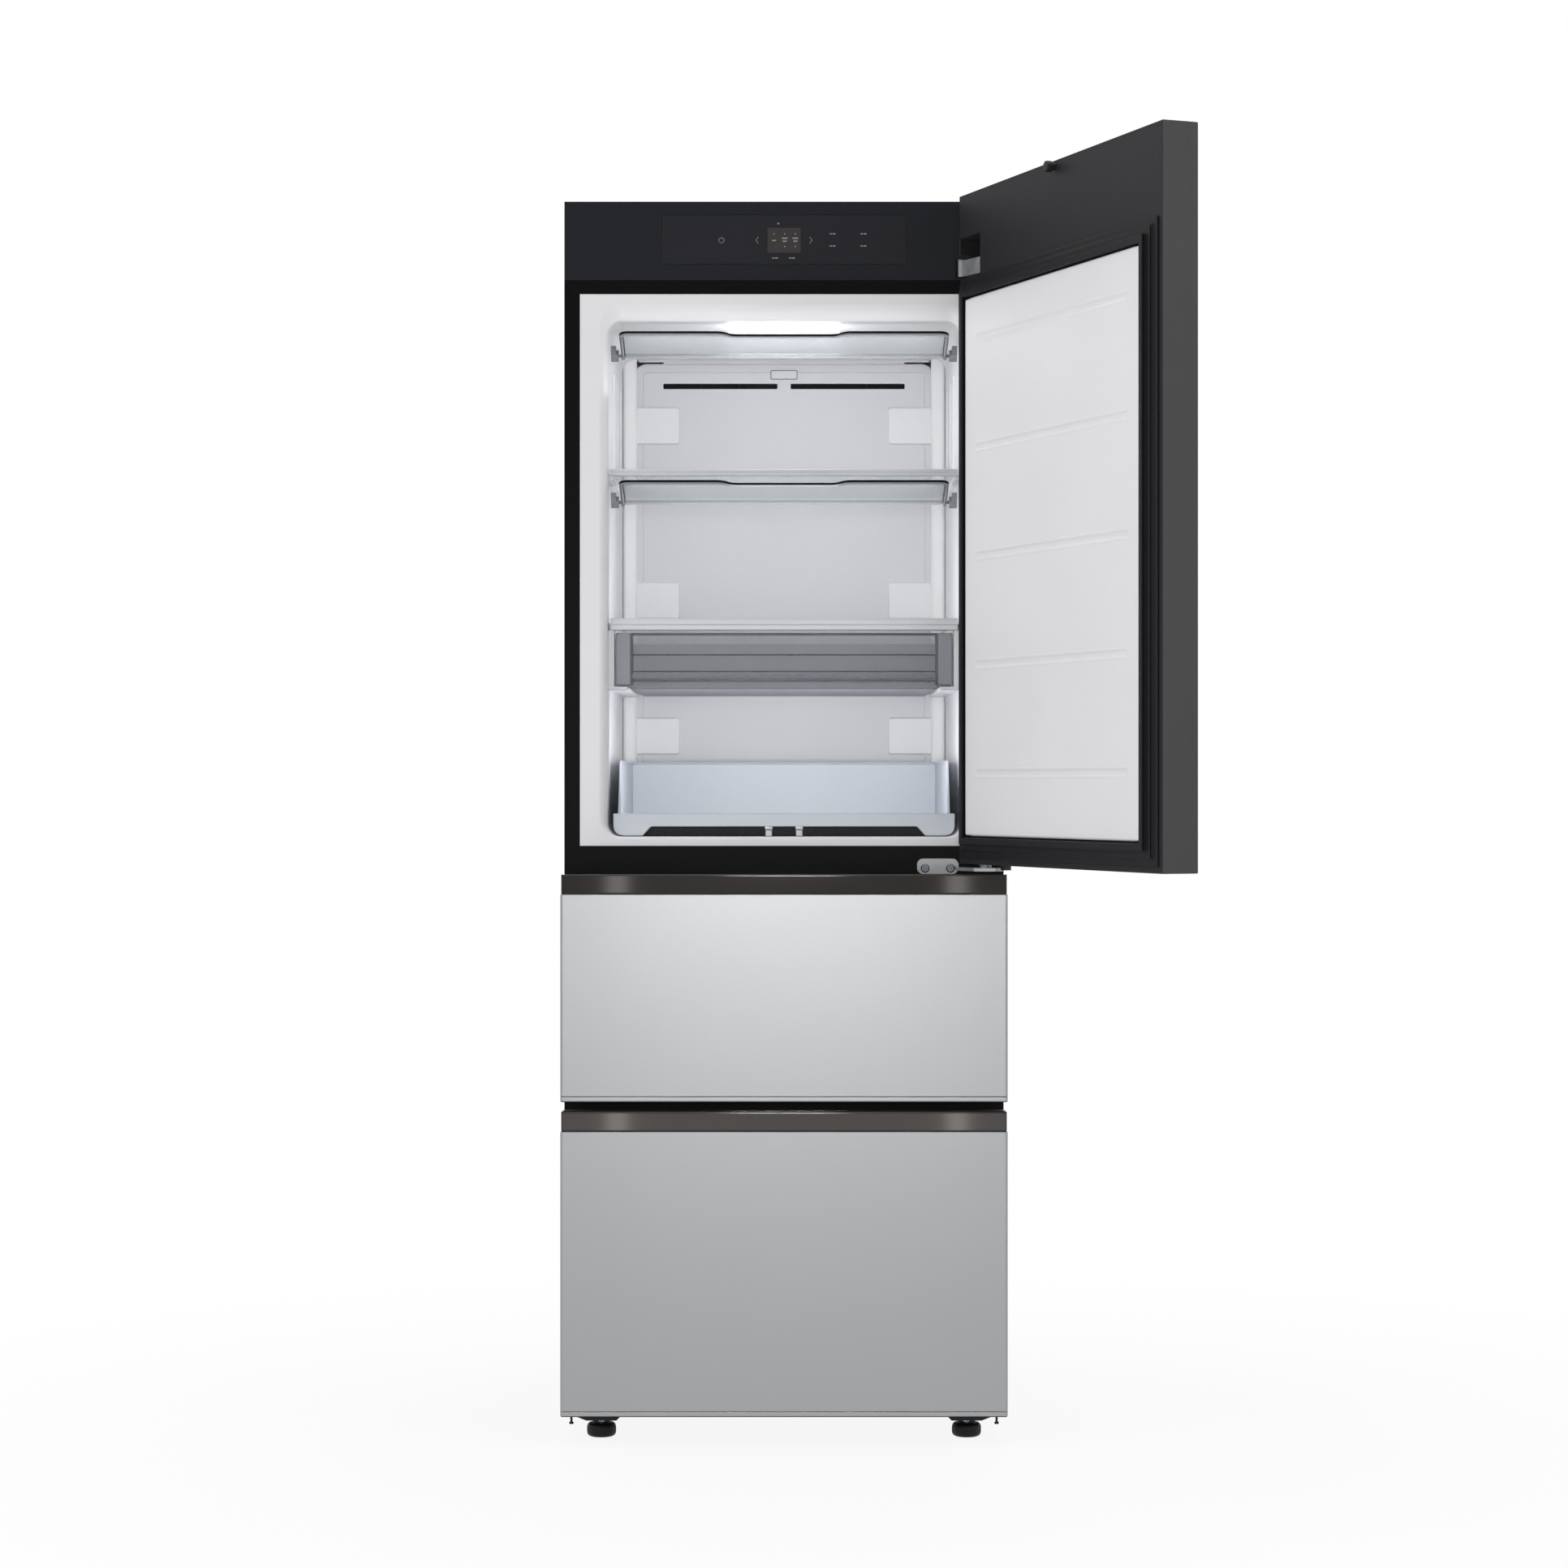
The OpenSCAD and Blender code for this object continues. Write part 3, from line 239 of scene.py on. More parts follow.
def cleanMesh(name, shapes, place, sharp):
    whole = bmesh.new()
    for points, quads, caps in shapes:
        part = bpy.data.meshes.new("part")
        part.from_pydata(place(points).tolist(), [], quads.tolist() + [c.tolist() for c in caps])
        one = bmesh.new()
        one.from_mesh(part)
        bmesh.ops.remove_doubles(one, verts=one.verts, dist=mergeWithin)
        bmesh.ops.dissolve_degenerate(one, edges=one.edges, dist=thinEdge)
        bmesh.ops.recalc_face_normals(one, faces=one.faces)
        one.to_mesh(part)
        one.free()
        whole.from_mesh(part)
        bpy.data.meshes.remove(part)
    mesh = bpy.data.meshes.new(name)
    whole.to_mesh(mesh)
    whole.free()
    mesh.shade_smooth()
    mesh.set_sharp_from_angle(angle=math.radians(sharp))
    return mesh


def evenNormals(piece):
    # large flat faces keep their own normal, so that only the rounded edges shade
    even = piece.modifiers.new("evenNormals", "WEIGHTED_NORMAL")
    even.keep_sharp = True
    even.weight = faceWeight


def linked(name, data):
    made = bpy.data.objects.new(name, data)
    scene.collection.objects.link(made)
    return made


def makePiece(name, body, finish, shapes, place=onCabinet, sharp=34, stands=(), slot=None, cut=None):
    # a piece that stands for a node hides that node
    piece = linked(name, cleanMesh(name, shapes, place, sharp))
    if cut:
        cutter = linked("cutter", cleanMesh("cutter", cut, place, sharp))
        take = piece.modifiers.new("holes", "BOOLEAN")
        take.operation, take.solver, take.object = "DIFFERENCE", "EXACT", cutter
        done = bpy.data.meshes.new_from_object(piece.evaluated_get(bpy.context.evaluated_depsgraph_get()))
        piece.modifiers.clear()
        piece.data = done
        bpy.data.objects.remove(cutter)
        done.shade_smooth()
        done.set_sharp_from_angle(angle=math.radians(sharp))
    piece.data.materials.clear()
    piece.data.materials.append(paint[finish])
    evenNormals(piece)
    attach(piece, body)
    if stands:
        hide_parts(*stands)
        slot = slot or stands[0]


def fixedPiece(name, finish, shapes, **more):
    makePiece(name, "cabinet", finish, shapes, **more)


def surface(color, rough, grain, relief, **more):
    # relief in millionths of a metre
    return dict(color=color, rough=rough, grain=grain, relief=relief / 1e6, **more)


finishes = {
    "blackSteel": surface((0.016, 0.017, 0.019), 0.45, 420, 30, specular=0.25),
    "frameBlack": surface((0.0034, 0.0035, 0.004), 0.42, 500, 20, specular=0.07),
    "headerBlack": surface((0.0155, 0.0165, 0.0203), 0.46, 700, 20, specular=0.12),
    "panelGlass": surface((0.0190, 0.0195, 0.0240), 0.38, 200, 4, specular=0.14),
    "displayGlass": surface((0.052, 0.046, 0.045), 0.25, 300, 10, specular=0.3),
    "displayMark": surface((0.26, 0.27, 0.28), 0.5, 900, 10),
    "linerWhite": surface((0.845, 0.838, 0.855), 0.4, 260, 30, mottle=0.01),
    "ductWhite": surface((0.72, 0.72, 0.745), 0.46, 320, 30, mottle=0.01),
    # painted light: a brighter copy of the rear wall's white, standing in for light on the corner columns
    "columnLitWhite": surface((0.93, 0.925, 0.935), 0.42, 320, 30, mottle=0.01),
    "railWhite": surface((0.74, 0.745, 0.76), 0.4, 320, 30),
    "bracketGrey": surface((0.17, 0.172, 0.18), 0.34, 420, 30),
    # painted shade: this black fills gaps, pockets and recesses where shade falls, and also draws the
    # door's shut lines
    "shadeAndSeamBlack": surface((0.006, 0.006, 0.006), 0.7, 320, 100),
    "binBlue": surface((0.56, 0.60, 0.66), 0.3, 300, 20, mottle=0.015),
    "trimBlue": surface((0.64, 0.65, 0.675), 0.3, 240, 20, mottle=0.02),
    "satinSilver": surface((0.362, 0.366, 0.374), 0.362, 1500, 8, mottle=0.006, metal=0.95),
    "handleBrown": surface((0.064, 0.058, 0.054), 0.06, 900, 0.1, mottle=0.02, metal=0.4),
    "trimEnd": surface((0.03, 0.028, 0.027), 0.5, 600, 30),
    "innerGrey": surface((0.16, 0.16, 0.165), 0.5, 380, 50),
    "doorGrey": surface((0.0215, 0.021, 0.0247), 0.52, 520, 30, specular=0.13),
    "doorSideGrey": surface((0.063, 0.062, 0.065), 0.5, 520, 30, specular=0.2),
    "gasketBlack": surface((0.0125, 0.0124, 0.0145), 0.5, 300, 40, specular=0.16),
    "rubber": surface((0.010, 0.010, 0.011), 0.62, 700, 60),
    "zinc": surface((0.45, 0.46, 0.47), 0.55, 90, 20, mottle=0.1, patch=90, metal=1.0),
    "screwDark": surface((0.20, 0.22, 0.25), 0.5, 500, 20, metal=0.9),
    "screwSteel": surface((0.42, 0.43, 0.45), 0.28, 500, 20, metal=1.0),
    "galvanised": surface((0.40, 0.41, 0.425), 0.5, 160, 20, mottle=0.045, patch=170, flecks=True,
        metal=0.6),
    "coverGrey": surface((0.17, 0.172, 0.178), 0.5, 300, 30, mottle=0.03, patch=60, metal=0.3),
    "railSteel": surface((0.58, 0.59, 0.60), 0.3, 80, 10, stretch=(20, 0.6, 20), metal=1.0),
    "binWhite": surface((0.70, 0.72, 0.75), 0.32, 300, 30, mottle=0.01),
    "foamCream": surface((0.62, 0.52, 0.30), 0.85, 160, 600, mottle=0.08, patch=30),
    "enamelBlack": surface((0.012, 0.012, 0.013), 0.25, 180, 80, coat=0.3),
    "copper": surface((0.72, 0.37, 0.21), 0.3, 140, 20, mottle=0.12, patch=25, metal=1.0),
    "wireGrey": surface((0.045, 0.047, 0.05), 0.45, 400, 40),
    "finAlloy": surface((0.62, 0.64, 0.66), 0.38, 200, 30, metal=1.0),
    "fanBlack": surface((0.03, 0.031, 0.034), 0.42, 420, 30),
    "shroudGrey": surface((0.55, 0.56, 0.58), 0.45, 380, 30),
    "footBlack": surface((0.012, 0.012, 0.013), 0.4, 500, 50, specular=0.2),
    "rollerGrey": surface((0.05, 0.052, 0.056), 0.5, 500, 50),
}
clearFinishes = {
    "shelfGlass": dict(color=(0.62, 0.70, 0.70), rough=0.06, face=0.10, edge=0.72),
    "guardClear": dict(color=(0.40, 0.42, 0.44), rough=0.16, face=0.22, edge=0.75),
    "guardBar": dict(color=(0.46, 0.48, 0.50), rough=0.14, face=0.5, edge=0.85),
    "traySmoke": dict(color=(0.36, 0.37, 0.405), rough=0.35, specular=0.12, face=0.38, edge=0.85),
    # painted shade: a darker copy of the tray's smoke plastic for its walls and floor, standing in for the
    # shade in its depth
    "trayShadedSmoke": dict(color=(0.24, 0.245, 0.27), rough=0.35, specular=0.12, face=0.25, edge=0.78),
    "trayLine": dict(color=(0.040, 0.042, 0.055), rough=0.3, face=0.8, edge=0.92),
    "trayPillar": dict(color=(0.46, 0.47, 0.51), rough=0.35, specular=0.15, face=0.62, edge=0.9),
}


def wire(tree, out, into):
    tree.links.new(out, into)


def addNode(tree, kind, **values):
    node = tree.nodes.new("ShaderNode" + kind)
    for name, value in values.items():
        setattr(node, name, value)
    return node


def setInputs(node, values):
    for name, value in values.items():
        node.inputs[name].default_value = value


def ranged(tree, source, low, high, start=0.3, end=0.7):
    # start and end of the source become low and high; a noise lies mostly between 0.3 and 0.7
    node = addNode(tree, "MapRange")
    for i, v in enumerate((start, end, low, high), 1):
        node.inputs[i].default_value = v
    wire(tree, source, node.inputs[0])
    return node.outputs[0]


def noise(tree, vector, scale, detail=2.0):
    node = addNode(tree, "TexNoise")
    setInputs(node, {"Scale": scale, "Detail": detail})
    wire(tree, vector, node.inputs["Vector"])
    return node.outputs[0]


def baseFinish(name, look):
    # colour drifts in soft patches, roughness and a fine relief follow a small grain
    material = bpy.data.materials.new(name)
    material.use_nodes = True
    tree = material.node_tree
    shader = tree.nodes["Principled BSDF"]
    setInputs(shader, {"Metallic": look.get("metal", 0.0), "Coat Weight": look.get("coat", 0.0)})
    setInputs(shader, {"Specular IOR Level": look.get("specular", 0.5)})
    place = addNode(tree, "TexCoord")
    stretch = addNode(tree, "Mapping")
    stretch.inputs["Scale"].default_value = look.get("stretch", (1, 1, 1))
    wire(tree, place.outputs["Object"], stretch.inputs["Vector"])
    source = noise(tree, stretch.outputs[0], look.get("patch", 7.0), 3.0)
    if look.get("flecks"):
        cells = addNode(tree, "TexVoronoi")
        cells.inputs["Scale"].default_value = look["patch"]
        wire(tree, stretch.outputs[0], cells.inputs["Vector"])
        source = cells.outputs["Color"]
    mix = addNode(tree, "Mix", data_type="RGBA")
    spread = look.get("mottle", 0.03)
    color = np.array(look["color"])
    setInputs(mix, {"A": (*(color * (1 - spread)), 1), "B": (*np.minimum(color * (1 + spread), 1), 1)})
    wire(tree, ranged(tree, source, 0, 1), mix.inputs["Factor"])
    wire(tree, mix.outputs["Result"], shader.inputs["Base Color"])
    grain = noise(tree, stretch.outputs[0], look["grain"])
    rough = look["rough"]
    wire(tree, ranged(tree, grain, rough * 0.9, rough * 1.1), shader.inputs["Roughness"])
    bump = addNode(tree, "Bump")
    setInputs(bump, {"Strength": 0.6, "Distance": look["relief"]})
    wire(tree, grain, bump.inputs["Height"])
    wire(tree, bump.outputs[0], shader.inputs["Normal"])
    return material


def clearFinish(name, look):
    # see-through face on, and more solid towards grazing angles
    material = baseFinish(name, dict(look, grain=60, relief=0.0000003, mottle=0.02))
    tree = material.node_tree
    facing = addNode(tree, "LayerWeight")
    facing.inputs["Blend"].default_value = 0.35
    shader = tree.nodes["Principled BSDF"]
    cover = ranged(tree, facing.outputs["Facing"], look["face"], look["edge"], 0.0, 1.0)
    wire(tree, cover, shader.inputs["Alpha"])
    return material


paint = {name: baseFinish(name, look) for name, look in finishes.items()}
paint.update({name: clearFinish(name, look) for name, look in clearFinishes.items()})

lampLook = {"color": (1.0, 0.995, 0.98), "strength": 3.2, "spread": 0.06}
lampGlow = bpy.data.materials.new("lampGlow")
lampGlow.use_nodes = True
paint.update(lampGlow=lampGlow)
lampTree = lampGlow.node_tree
lampShader = lampTree.nodes["Principled BSDF"]
setInputs(lampShader, {"Base Color": (0.9, 0.9, 0.9, 1), "Emission Color": (*lampLook["color"], 1)})
lampPlace = addNode(lampTree, "TexCoord")
lampCells = noise(lampTree, lampPlace.outputs["Object"], 40.0)
dimmest, brightest = (lampLook["strength"] * (1 + k * lampLook["spread"]) for k in (-1, 1))
lampLevel = ranged(lampTree, lampCells, dimmest, brightest)
wire(lampTree, lampLevel, lampShader.inputs["Emission Strength"])
print("finishes made,", len(bpy.data.materials))

# the CAD pieces that show as they are, by finish
nodeFinish = {
    "blackSteel": "cabinet_shell foot_bracket", "frameBlack": "front_frame", "galvanised": "base_plate",
    "foamCream": "insulation door_foam", "linerWhite": "mid_liner low_liner",
    "headerBlack": "header_fascia", "panelGlass": "touch_panel", "shelfGlass": "shelf_glass",
    "railWhite": "tray_frame", "bracketGrey": "guard_bracket", "finAlloy": "evaporator",
    "shroudGrey": "fan_shroud", "zinc": "hinge_top hinge_middle", "screwDark": "hinge_screw",
    "coverGrey": "machine_cover", "rubber": "compressor_mount cord_inlet door_stop",
    "doorGrey": "door_case", "rollerGrey": "rear_rollers", "innerGrey": "mid_inner low_inner",
    "binWhite": "mid_bin low_bin", "fanBlack": "condenser_shroud evap_fan condenser_fan",
    "railSteel": "rail_fixed mid_rail low_rail mid_rail_stage low_rail_stage",
}
for finishName, held in nodeFinish.items():
    for nodeName in held.split():
        mesh = nodes[nodeName].data
        mesh.materials.clear()
        mesh.materials.append(paint[finishName])

# the CAD pieces whose edges are rounded a little: width of the rounding in mm
nodeEdges = {
    "header_fascia": 0.7, "touch_panel": 0.4, "tray_frame": 0.8, "guard_bracket": 0.8, "hinge_top": 0.8,
    "hinge_middle": 0.5, "door_case": 0.9, "mid_inner": 0.7, "low_inner": 0.7, "foot_bracket": 0.4,
    "front_frame": 0.4, "mid_bin": 0.8, "low_bin": 0.8,
}
# metres within which points merge, then degrees: faces below are flat, edges above are rounded
weldWithin, flatBelow, roundAbove, roundSteps = 0.00001, 0.5, 40, 2
for nodeName, width in nodeEdges.items():
    weld = nodes[nodeName].modifiers.new("weld", "WELD")
    weld.merge_threshold = weldWithin
    flat = nodes[nodeName].modifiers.new("flat", "DECIMATE")
    flat.decimate_type = "DISSOLVE"
    flat.angle_limit = math.radians(flatBelow)
    bevel = nodes[nodeName].modifiers.new("edges", "BEVEL")
    bevel.width = width / 1000
    bevel.segments = roundSteps
    bevel.limit_method = "ANGLE"
    bevel.angle_limit = math.radians(roundAbove)
    evenNormals(nodes[nodeName])
# the door's edge faces are a shade lighter than its inner face, and its hinge pocket faces are painted
# black as painted shade
doorMesh = nodes["door_case"].data
doorMesh.materials.append(paint["doorSideGrey"])
doorMesh.materials.append(paint["shadeAndSeamBlack"])
shadedPocketBox = ((256, 331), (14.2, 53.5), (1726, 1798.5))
inwards = onDoor(np.array([[0, 0, 0], [0, 1.0, 0]]))
inwards = (inwards[1] - inwards[0]) * 1000
doorCos, doorSin = math.cos(doorTurn), math.sin(doorTurn)
backTurn = np.array([[doorCos, doorSin], [-doorSin, doorCos]])
fromPin = np.array([middleX - doorPin[0], middleY - doorPin[1]])
for face in doorMesh.polygons:
    x, y = backTurn @ (np.array(face.center[:2]) * 1000 + fromPin) + doorPin
    z = face.center[2] * 1000
    edgeFace = abs(float(np.dot(face.normal, inwards))) < 0.5
    inShadedPocket = all(low < v < high for v, (low, high) in zip((x, y, z), shadedPocketBox))
    face.material_index = 2 if inShadedPocket else int(edgeFace)
print("frame pieces finished")

# upper compartment
liner = {"front": 70, "slopeStart": 70.8, "slopeEnd": 91.6, "back": 655, "fillet": 6, "rearFillet": 12}


def linerRing(hx, z0, z1, r, y):
    return atDepth(roundRect(-hx, hx, z0, z1, r, 10), y)


def linerShell():
    # outer skin from back to front, round the flange, and down the mouth, step and cavity to the rear wall
    front, f, rear = liner["front"], liner["fillet"], liner["rearFillet"]
    start, end = liner["slopeStart"], liner["slopeEnd"]
    rings = [
        linerRing(267.4, 901.1, 1681.9, 21.9, 656.9), linerRing(267.4, 901.1, 1681.9, 21.9, 95.5),
        linerRing(273.9, 901.1, 1698.9, 29.9, 93.4), linerRing(273.9, 901.1, 1698.9, 29.9, front + 2),
        linerRing(306.7, 889, 1718, 1, front + 2), linerRing(306.7, 889, 1718, 1, front + 0.4),
        linerRing(306.3, 889.4, 1717.6, 0.8, front),
    ]
    # the mouth: a quarter circle of the fillet, added to a slope that flattens out towards the cavity
    turn = quarter(9)
    depths = np.concatenate([front + f * (1 - np.cos(turn)), np.linspace(front + f, end, 10)[1:]])
    rounds = np.concatenate([f * (1 - np.sin(turn)), np.zeros(9)])
    slopes = 1 - (1 - np.clip((depths - start) / (end - start), 0, 1)) ** 1.7
    for y, g, k in zip(depths, rounds, slopes):
        rings.append(linerRing(272 + g - 6.5 * k, 903 - g, 1697 + g - 17 * k, 28 + g - 8 * k, y))
    for a in quarter(6):
        g, y = rear * (1 - math.cos(a)), liner["back"] - rear * (1 - math.sin(a))
        rings.append(linerRing(265.5 - g, 903 + g, 1680 - g, 20 - g, y))
    return stacked(rings)


ledges = [softBlock(257.5, 266.4, 110, 560, z - 8, z, 1.5) for z in (1450, 1225)]
wallRibs = [softBlock(264.2, 266.4, y, y + 6, 1470, 1620, 1.2) for y in (278, 388, 498)]
fixedPiece("upperLinerShell", "linerWhite", [linerShell(), *both(*ledges, *wallRibs)],
    stands=["upper_liner"], sharp=50)

ductPanel = {
    "halfX": 246.7, "z": (903.3, 1675), "front": 590, "edge": 3, "corner": 20,
    "padZ": (1542, 1254, 1031), "slot": (11, 199, 1633, 1642),
}


def ductPlate():
    # round edge, then a flat border and a field raised by a small step
    h, (z0, z1), r = ductPanel["halfX"], ductPanel["z"], ductPanel["corner"]
    front, edge = ductPanel["front"], ductPanel["edge"]
    turn = quarter(5)
    steps = [(0, front + 4)] + [(edge * (1 - math.cos(v)), front + edge * (1 - math.sin(v))) for v in turn]
    steps += [(13.5, front), (14.2, front - 0.3), (15.0, front - 1.1), (15.8, front - 1.3)]
    return [stacked([atDepth(roundRect(i - h, h - i, z0 + i, z1 - i, r - i, 10), y) for i, y in steps])]


slotX0, slotX1, slotZ0, slotZ1 = ductPanel["slot"]
slotCut = plate(slotX0, slotX1, slotZ0, slotZ1, 1.4, 580, 600, 0.01, steps=3)
ductPads = [plate(172, 245.7, z, z + 60, 4, 583, 590.4, 2.5) for z in ductPanel["padZ"]]
fixedPiece("ductWall", "ductWhite", ductPlate(), cut=both(slotCut), stands=["duct_panel"], sharp=50)
fixedPiece("ductPads", "linerWhite", both(*ductPads), slot="duct_panel", sharp=50)
# painted light: the corner columns take a brighter white than the wall they belong to
columnLoop = roundRect(242, 265.2, 575, 594, 7, 8)
rearColumns = both(bar(columnLoop, atHeight, 923.5, 1680.8, 0.3))
fixedPiece("rearColumns", "columnLitWhite", rearColumns, slot="duct_panel", sharp=50)
sensorLids = [
    plate(-21, 21, 1650, 1663, 2, 585.2, 590, 1.2),
    plate(-18.2, 18.2, 1652.4, 1660.6, 1.2, 584.6, 586, 0.5),
]
fixedPiece("sensorCover", "railWhite", sensorLids, slot="duct_panel")
fixedPiece("sensorSeam", "bracketGrey", [plate(-22.2, 22.2, 1648.8, 1664.2, 2.6, 588.2, 589.6, 0.3)])
# a lip closes the gap over the rear wall, and leaves its two corners open
ductLips = [
    swapped(plate(-x, x, y, 600, 3, -z, -1680.6, 0.6), [0, 2, 1], [1, 1, -1])
    for x, y, z in ((199, 589.5, 1674.4), (240, 589.8, 1677.4))
]
fixedPiece("ductSeal", "ductWhite", ductLips, slot="duct_panel")


def slotDuct():
    # an open tray: outer wall to the back, then the inner wall from the front rim to its floor
    x0, x1, z0, z1 = slotX0 - 2, slotX1 + 2, slotZ0 - 2, slotZ1 + 2
    ring = lambda e, y: atDepth(roundRect(x0 + e, x1 - e, z0 + e, z1 - e, 2, 3), y)
    return stacked([ring(0, 614), ring(0, 594.1), ring(1.6, 594.1), ring(1.6, 612)])


# painted shade: the ducts and fins behind the air slots are black, standing in for the shade inside them
slotFins = [softBlock(x, x + 2, 595.5, 611, slotZ0 - 0.2, slotZ1 + 0.2, 0.4) for x in (73, 136)]
fixedPiece("airSlotShade", "shadeAndSeamBlack", both(slotDuct(), *slotFins), slot="duct_panel")

lampShape = swapped(plate(-85, 85, 125, 190, 4, -1674, -1680, 2.2), [0, 2, 1], [1, 1, -1])
fixedPiece("lampLens", "lampGlow", [lampShape], stands=["lamp_cover"])

shelfTrim = {"halfX": 262, "front": 88, "glass": (1450, 1225), "below": (3, 11)}


def trimBar(z, below):
    # side outline round the edge of the glass: two bands with a shallow groove, closed behind
    y = shelfTrim["front"]
    top, low = z + 7, z - below
    middle = low + (top - low) * 0.45
    outline = [
        (y + 1.0, low), (y + 19.8, low), (y + 19.8, z), (y + 8.2, z), (y + 8.2, z + 4), (y + 19.8, z + 4),
        (y + 19.8, top - 1), (y + 14, top), (y + 1.5, top), (y + 0.1, top - 1.6),
        (y + 0.1, middle + 1.0), (y + 0.9, middle + 0.3), (y + 0.9, middle - 0.3), (y + 0.1, middle - 1.0),
        (y + 0.1, low + 1.4),
    ]
    loop = softened(outline, [1, 1, .5, .5, .5, .5, .8, 1, 1.2, 1.2, .3, .3, .3, .3, 1], 3)
    x = shelfTrim["halfX"]
    return bar(loop, atSide, -x, x, 0.5)


trimBars = [trimBar(z, b) for z, b in zip(shelfTrim["glass"], shelfTrim["below"])]
fixedPiece("shelfTrims", "trimBlue", trimBars, stands=["shelf_trim"], sharp=40)
print("upper compartment made")

# guards
levelUp = (0, 0, 1.0)


def guardPath(endY):
    # right half from its back end to the front corner and the notch, then the left half
    right = np.array([[247.4, endY, 0], [247.4, -88, 0], [241, -94.4, 0], [94, -94.4, 0], [79.5, -81.4, 0]])
    left = right[::-1] * [-1, 1, 1]
    return bentRoute(np.concatenate([right, left]), [9, 5, 5, 9, 9, 9, 9, 5, 5, 9], 5)


def guardSheet():
    # clear sheet with the finger notch in its front edge
    outline = np.array([
        (-246, -1), (-246, -88), (-241, -93), (-92, -93), (-79, -80.5), (79, -80.5), (92, -93), (241, -93),
        (246, -88), (246, -1),
    ])
    loop = softened(outline, [1, 5, 5, 6, 6, 6, 6, 5, 5, 1], 4)
    return bar(loop, atHeight, -1.1, 1.1, 0.5, 2)


def makeGuard(name, body, height, node):
    place = onGuard(height)
    clearRim = softened([(-2.4, -2.9), (2.4, -2.9), (2.4, 0.1), (-2.4, 0.1)], 0.9, 3)
    blackRim = softened([(-2.6, 0.0), (2.6, 0.0), (2.6, 3.2), (-2.6, 3.2)], 0.7, 3)
    rodProfile = [(0, -250), (3.2, -250), (3.6, -249.4), (3.6, 249.4), (3.2, 250), (0, 250)]
    rod = turnedShape(rodProfile, (0, 0, 0), "x", 20)
    boss = [
        (0, 245), (5.6, 245), (6, 245.5), (6, 249.5), (5.6, 250), (2.45, 250.2), (2.45, 260.4), (1.9, 261),
        (0, 261),
    ]
    rim, edge = swept(guardPath(0), clearRim, levelUp), swept(guardPath(-46), blackRim, levelUp)
    makePiece(name + "Sheet", body, "guardClear", [guardSheet()], place, stands=[node])
    makePiece(name + "Rim", body, "guardBar", [rim, rod], place, sharp=60, slot=node)
    makePiece(name + "Edge", body, "frameBlack", [edge], place, sharp=60, slot=node)
    lines = [tube([(x, y, 0.2), (-x, y, 0.2)], 0.7, 6) for x, y in ((243, 3.3), (243, -3.4))]
    ends = ((248.2, -48, 1.6), (248.2, -84, -2.9), (243.8, -84, -1.8))
    sides = both(*[tube([(x, -4, z), (x, y, z)], 0.9, 6) for x, y, z in ends])
    makePiece(name + "Lines", body, "trayLine", lines + sides, place, slot=node)
    pins = both(turnedShape(boss, (0, 0, 0), "x", 24))
    makePiece(name + "Pins", body, "bracketGrey", pins, place, slot=node)


makeGuard("upperGuard", "upper_guard", 1640, "guard_upper")
makeGuard("lowerGuard", "lower_guard", 1415, "guard_lower")
print("guards made")

# chill tray
tray = {"half": 254, "z": (1125, 1210), "front": 93, "back": 532, "wall": 3}


def trayOutline(t):
    h, (z0, z1) = tray["half"], tray["z"]
    return np.array([
        (-h + t, z1), (-h + t, z0 + 5.3 + t), (-h + 19.5 + t / 2, z0 + 5.3 + t), (-h + 24 + t / 2, z0 + t),
        (h - 24 - t / 2, z0 + t), (h - 19.5 - t / 2, z0 + 5.3 + t), (h - t, z0 + 5.3 + t), (h - t, z1),
    ])


def trayShell():
    # the outer outline down and the inner one back up, carried from front to back, then a wall at each end
    y0, y1, t = tray["front"], tray["back"], tray["wall"]
    walls = np.concatenate([trayOutline(0.0), trayOutline(t)[::-1]])
    loop = softened(walls, [1] + [2.5] * 6 + [1, 1] + [2] * 6 + [1], 3)
    body = carried(loop, [(y0 + t + 0.05, 0.0), (y1 - t - 0.05, 0.0)], atDepth)
    face = softened(trayOutline(0.0), [2] + [2.5] * 6 + [2], 3)
    front = bar(face, atDepth, y0, y0 + t, 0.9)
    rear = bar(face, atDepth, y1 - t, y1, 0.9)
    return [body, front, rear]


trayPillars = [
    softBlock(231.5, 253.2, 92.6, 97.5, 1132.5, 1208.5, 1.2),
    softBlock(231, 233.6, 96, 117, 1130, 1207, 0.8),
]
trayLines = [
    softBlock(-231, 231, 92.2, 94.4, z, z + h, 0.6)
    for z, h in ((1176, 1.6), (1151, 1.6), (1136.2, 3.2), (1206, 3.4))
]
trayLines += both(softBlock(227.8, 231.6, 92.0, 97.5, 1131, 1208.5, 0.5))
lipLoop = softened([(93.4, 1147), (93.4, 1141), (88.6, 1142.6), (88.3, 1144.4), (89, 1145.6)], 1.0, 3)
trayLip = bar(lipLoop, atSide, -230, 230, 0.8)
trayBody, *trayEnds = trayShell()
makePiece("trayShell", "chill_tray", "traySmoke", [*trayEnds, trayLip], stands=["chill_tray"], sharp=40)
# painted shade: the tray's walls and floor take the darker copy of its smoke plastic
makePiece("trayBody", "chill_tray", "trayShadedSmoke", [trayBody], slot="chill_tray", sharp=40)
makePiece("trayLines", "chill_tray", "trayLine", trayLines, slot="chill_tray")
makePiece("trayPillars", "chill_tray", "trayPillar", both(*trayPillars), slot="chill_tray")

# bottom bin
lowBin = {
    "front": (88, 93), "half": 257.5, "z": (904, 937.5), "side": 250.5, "back": 560, "top": 1018,
    "foot": 912,
}


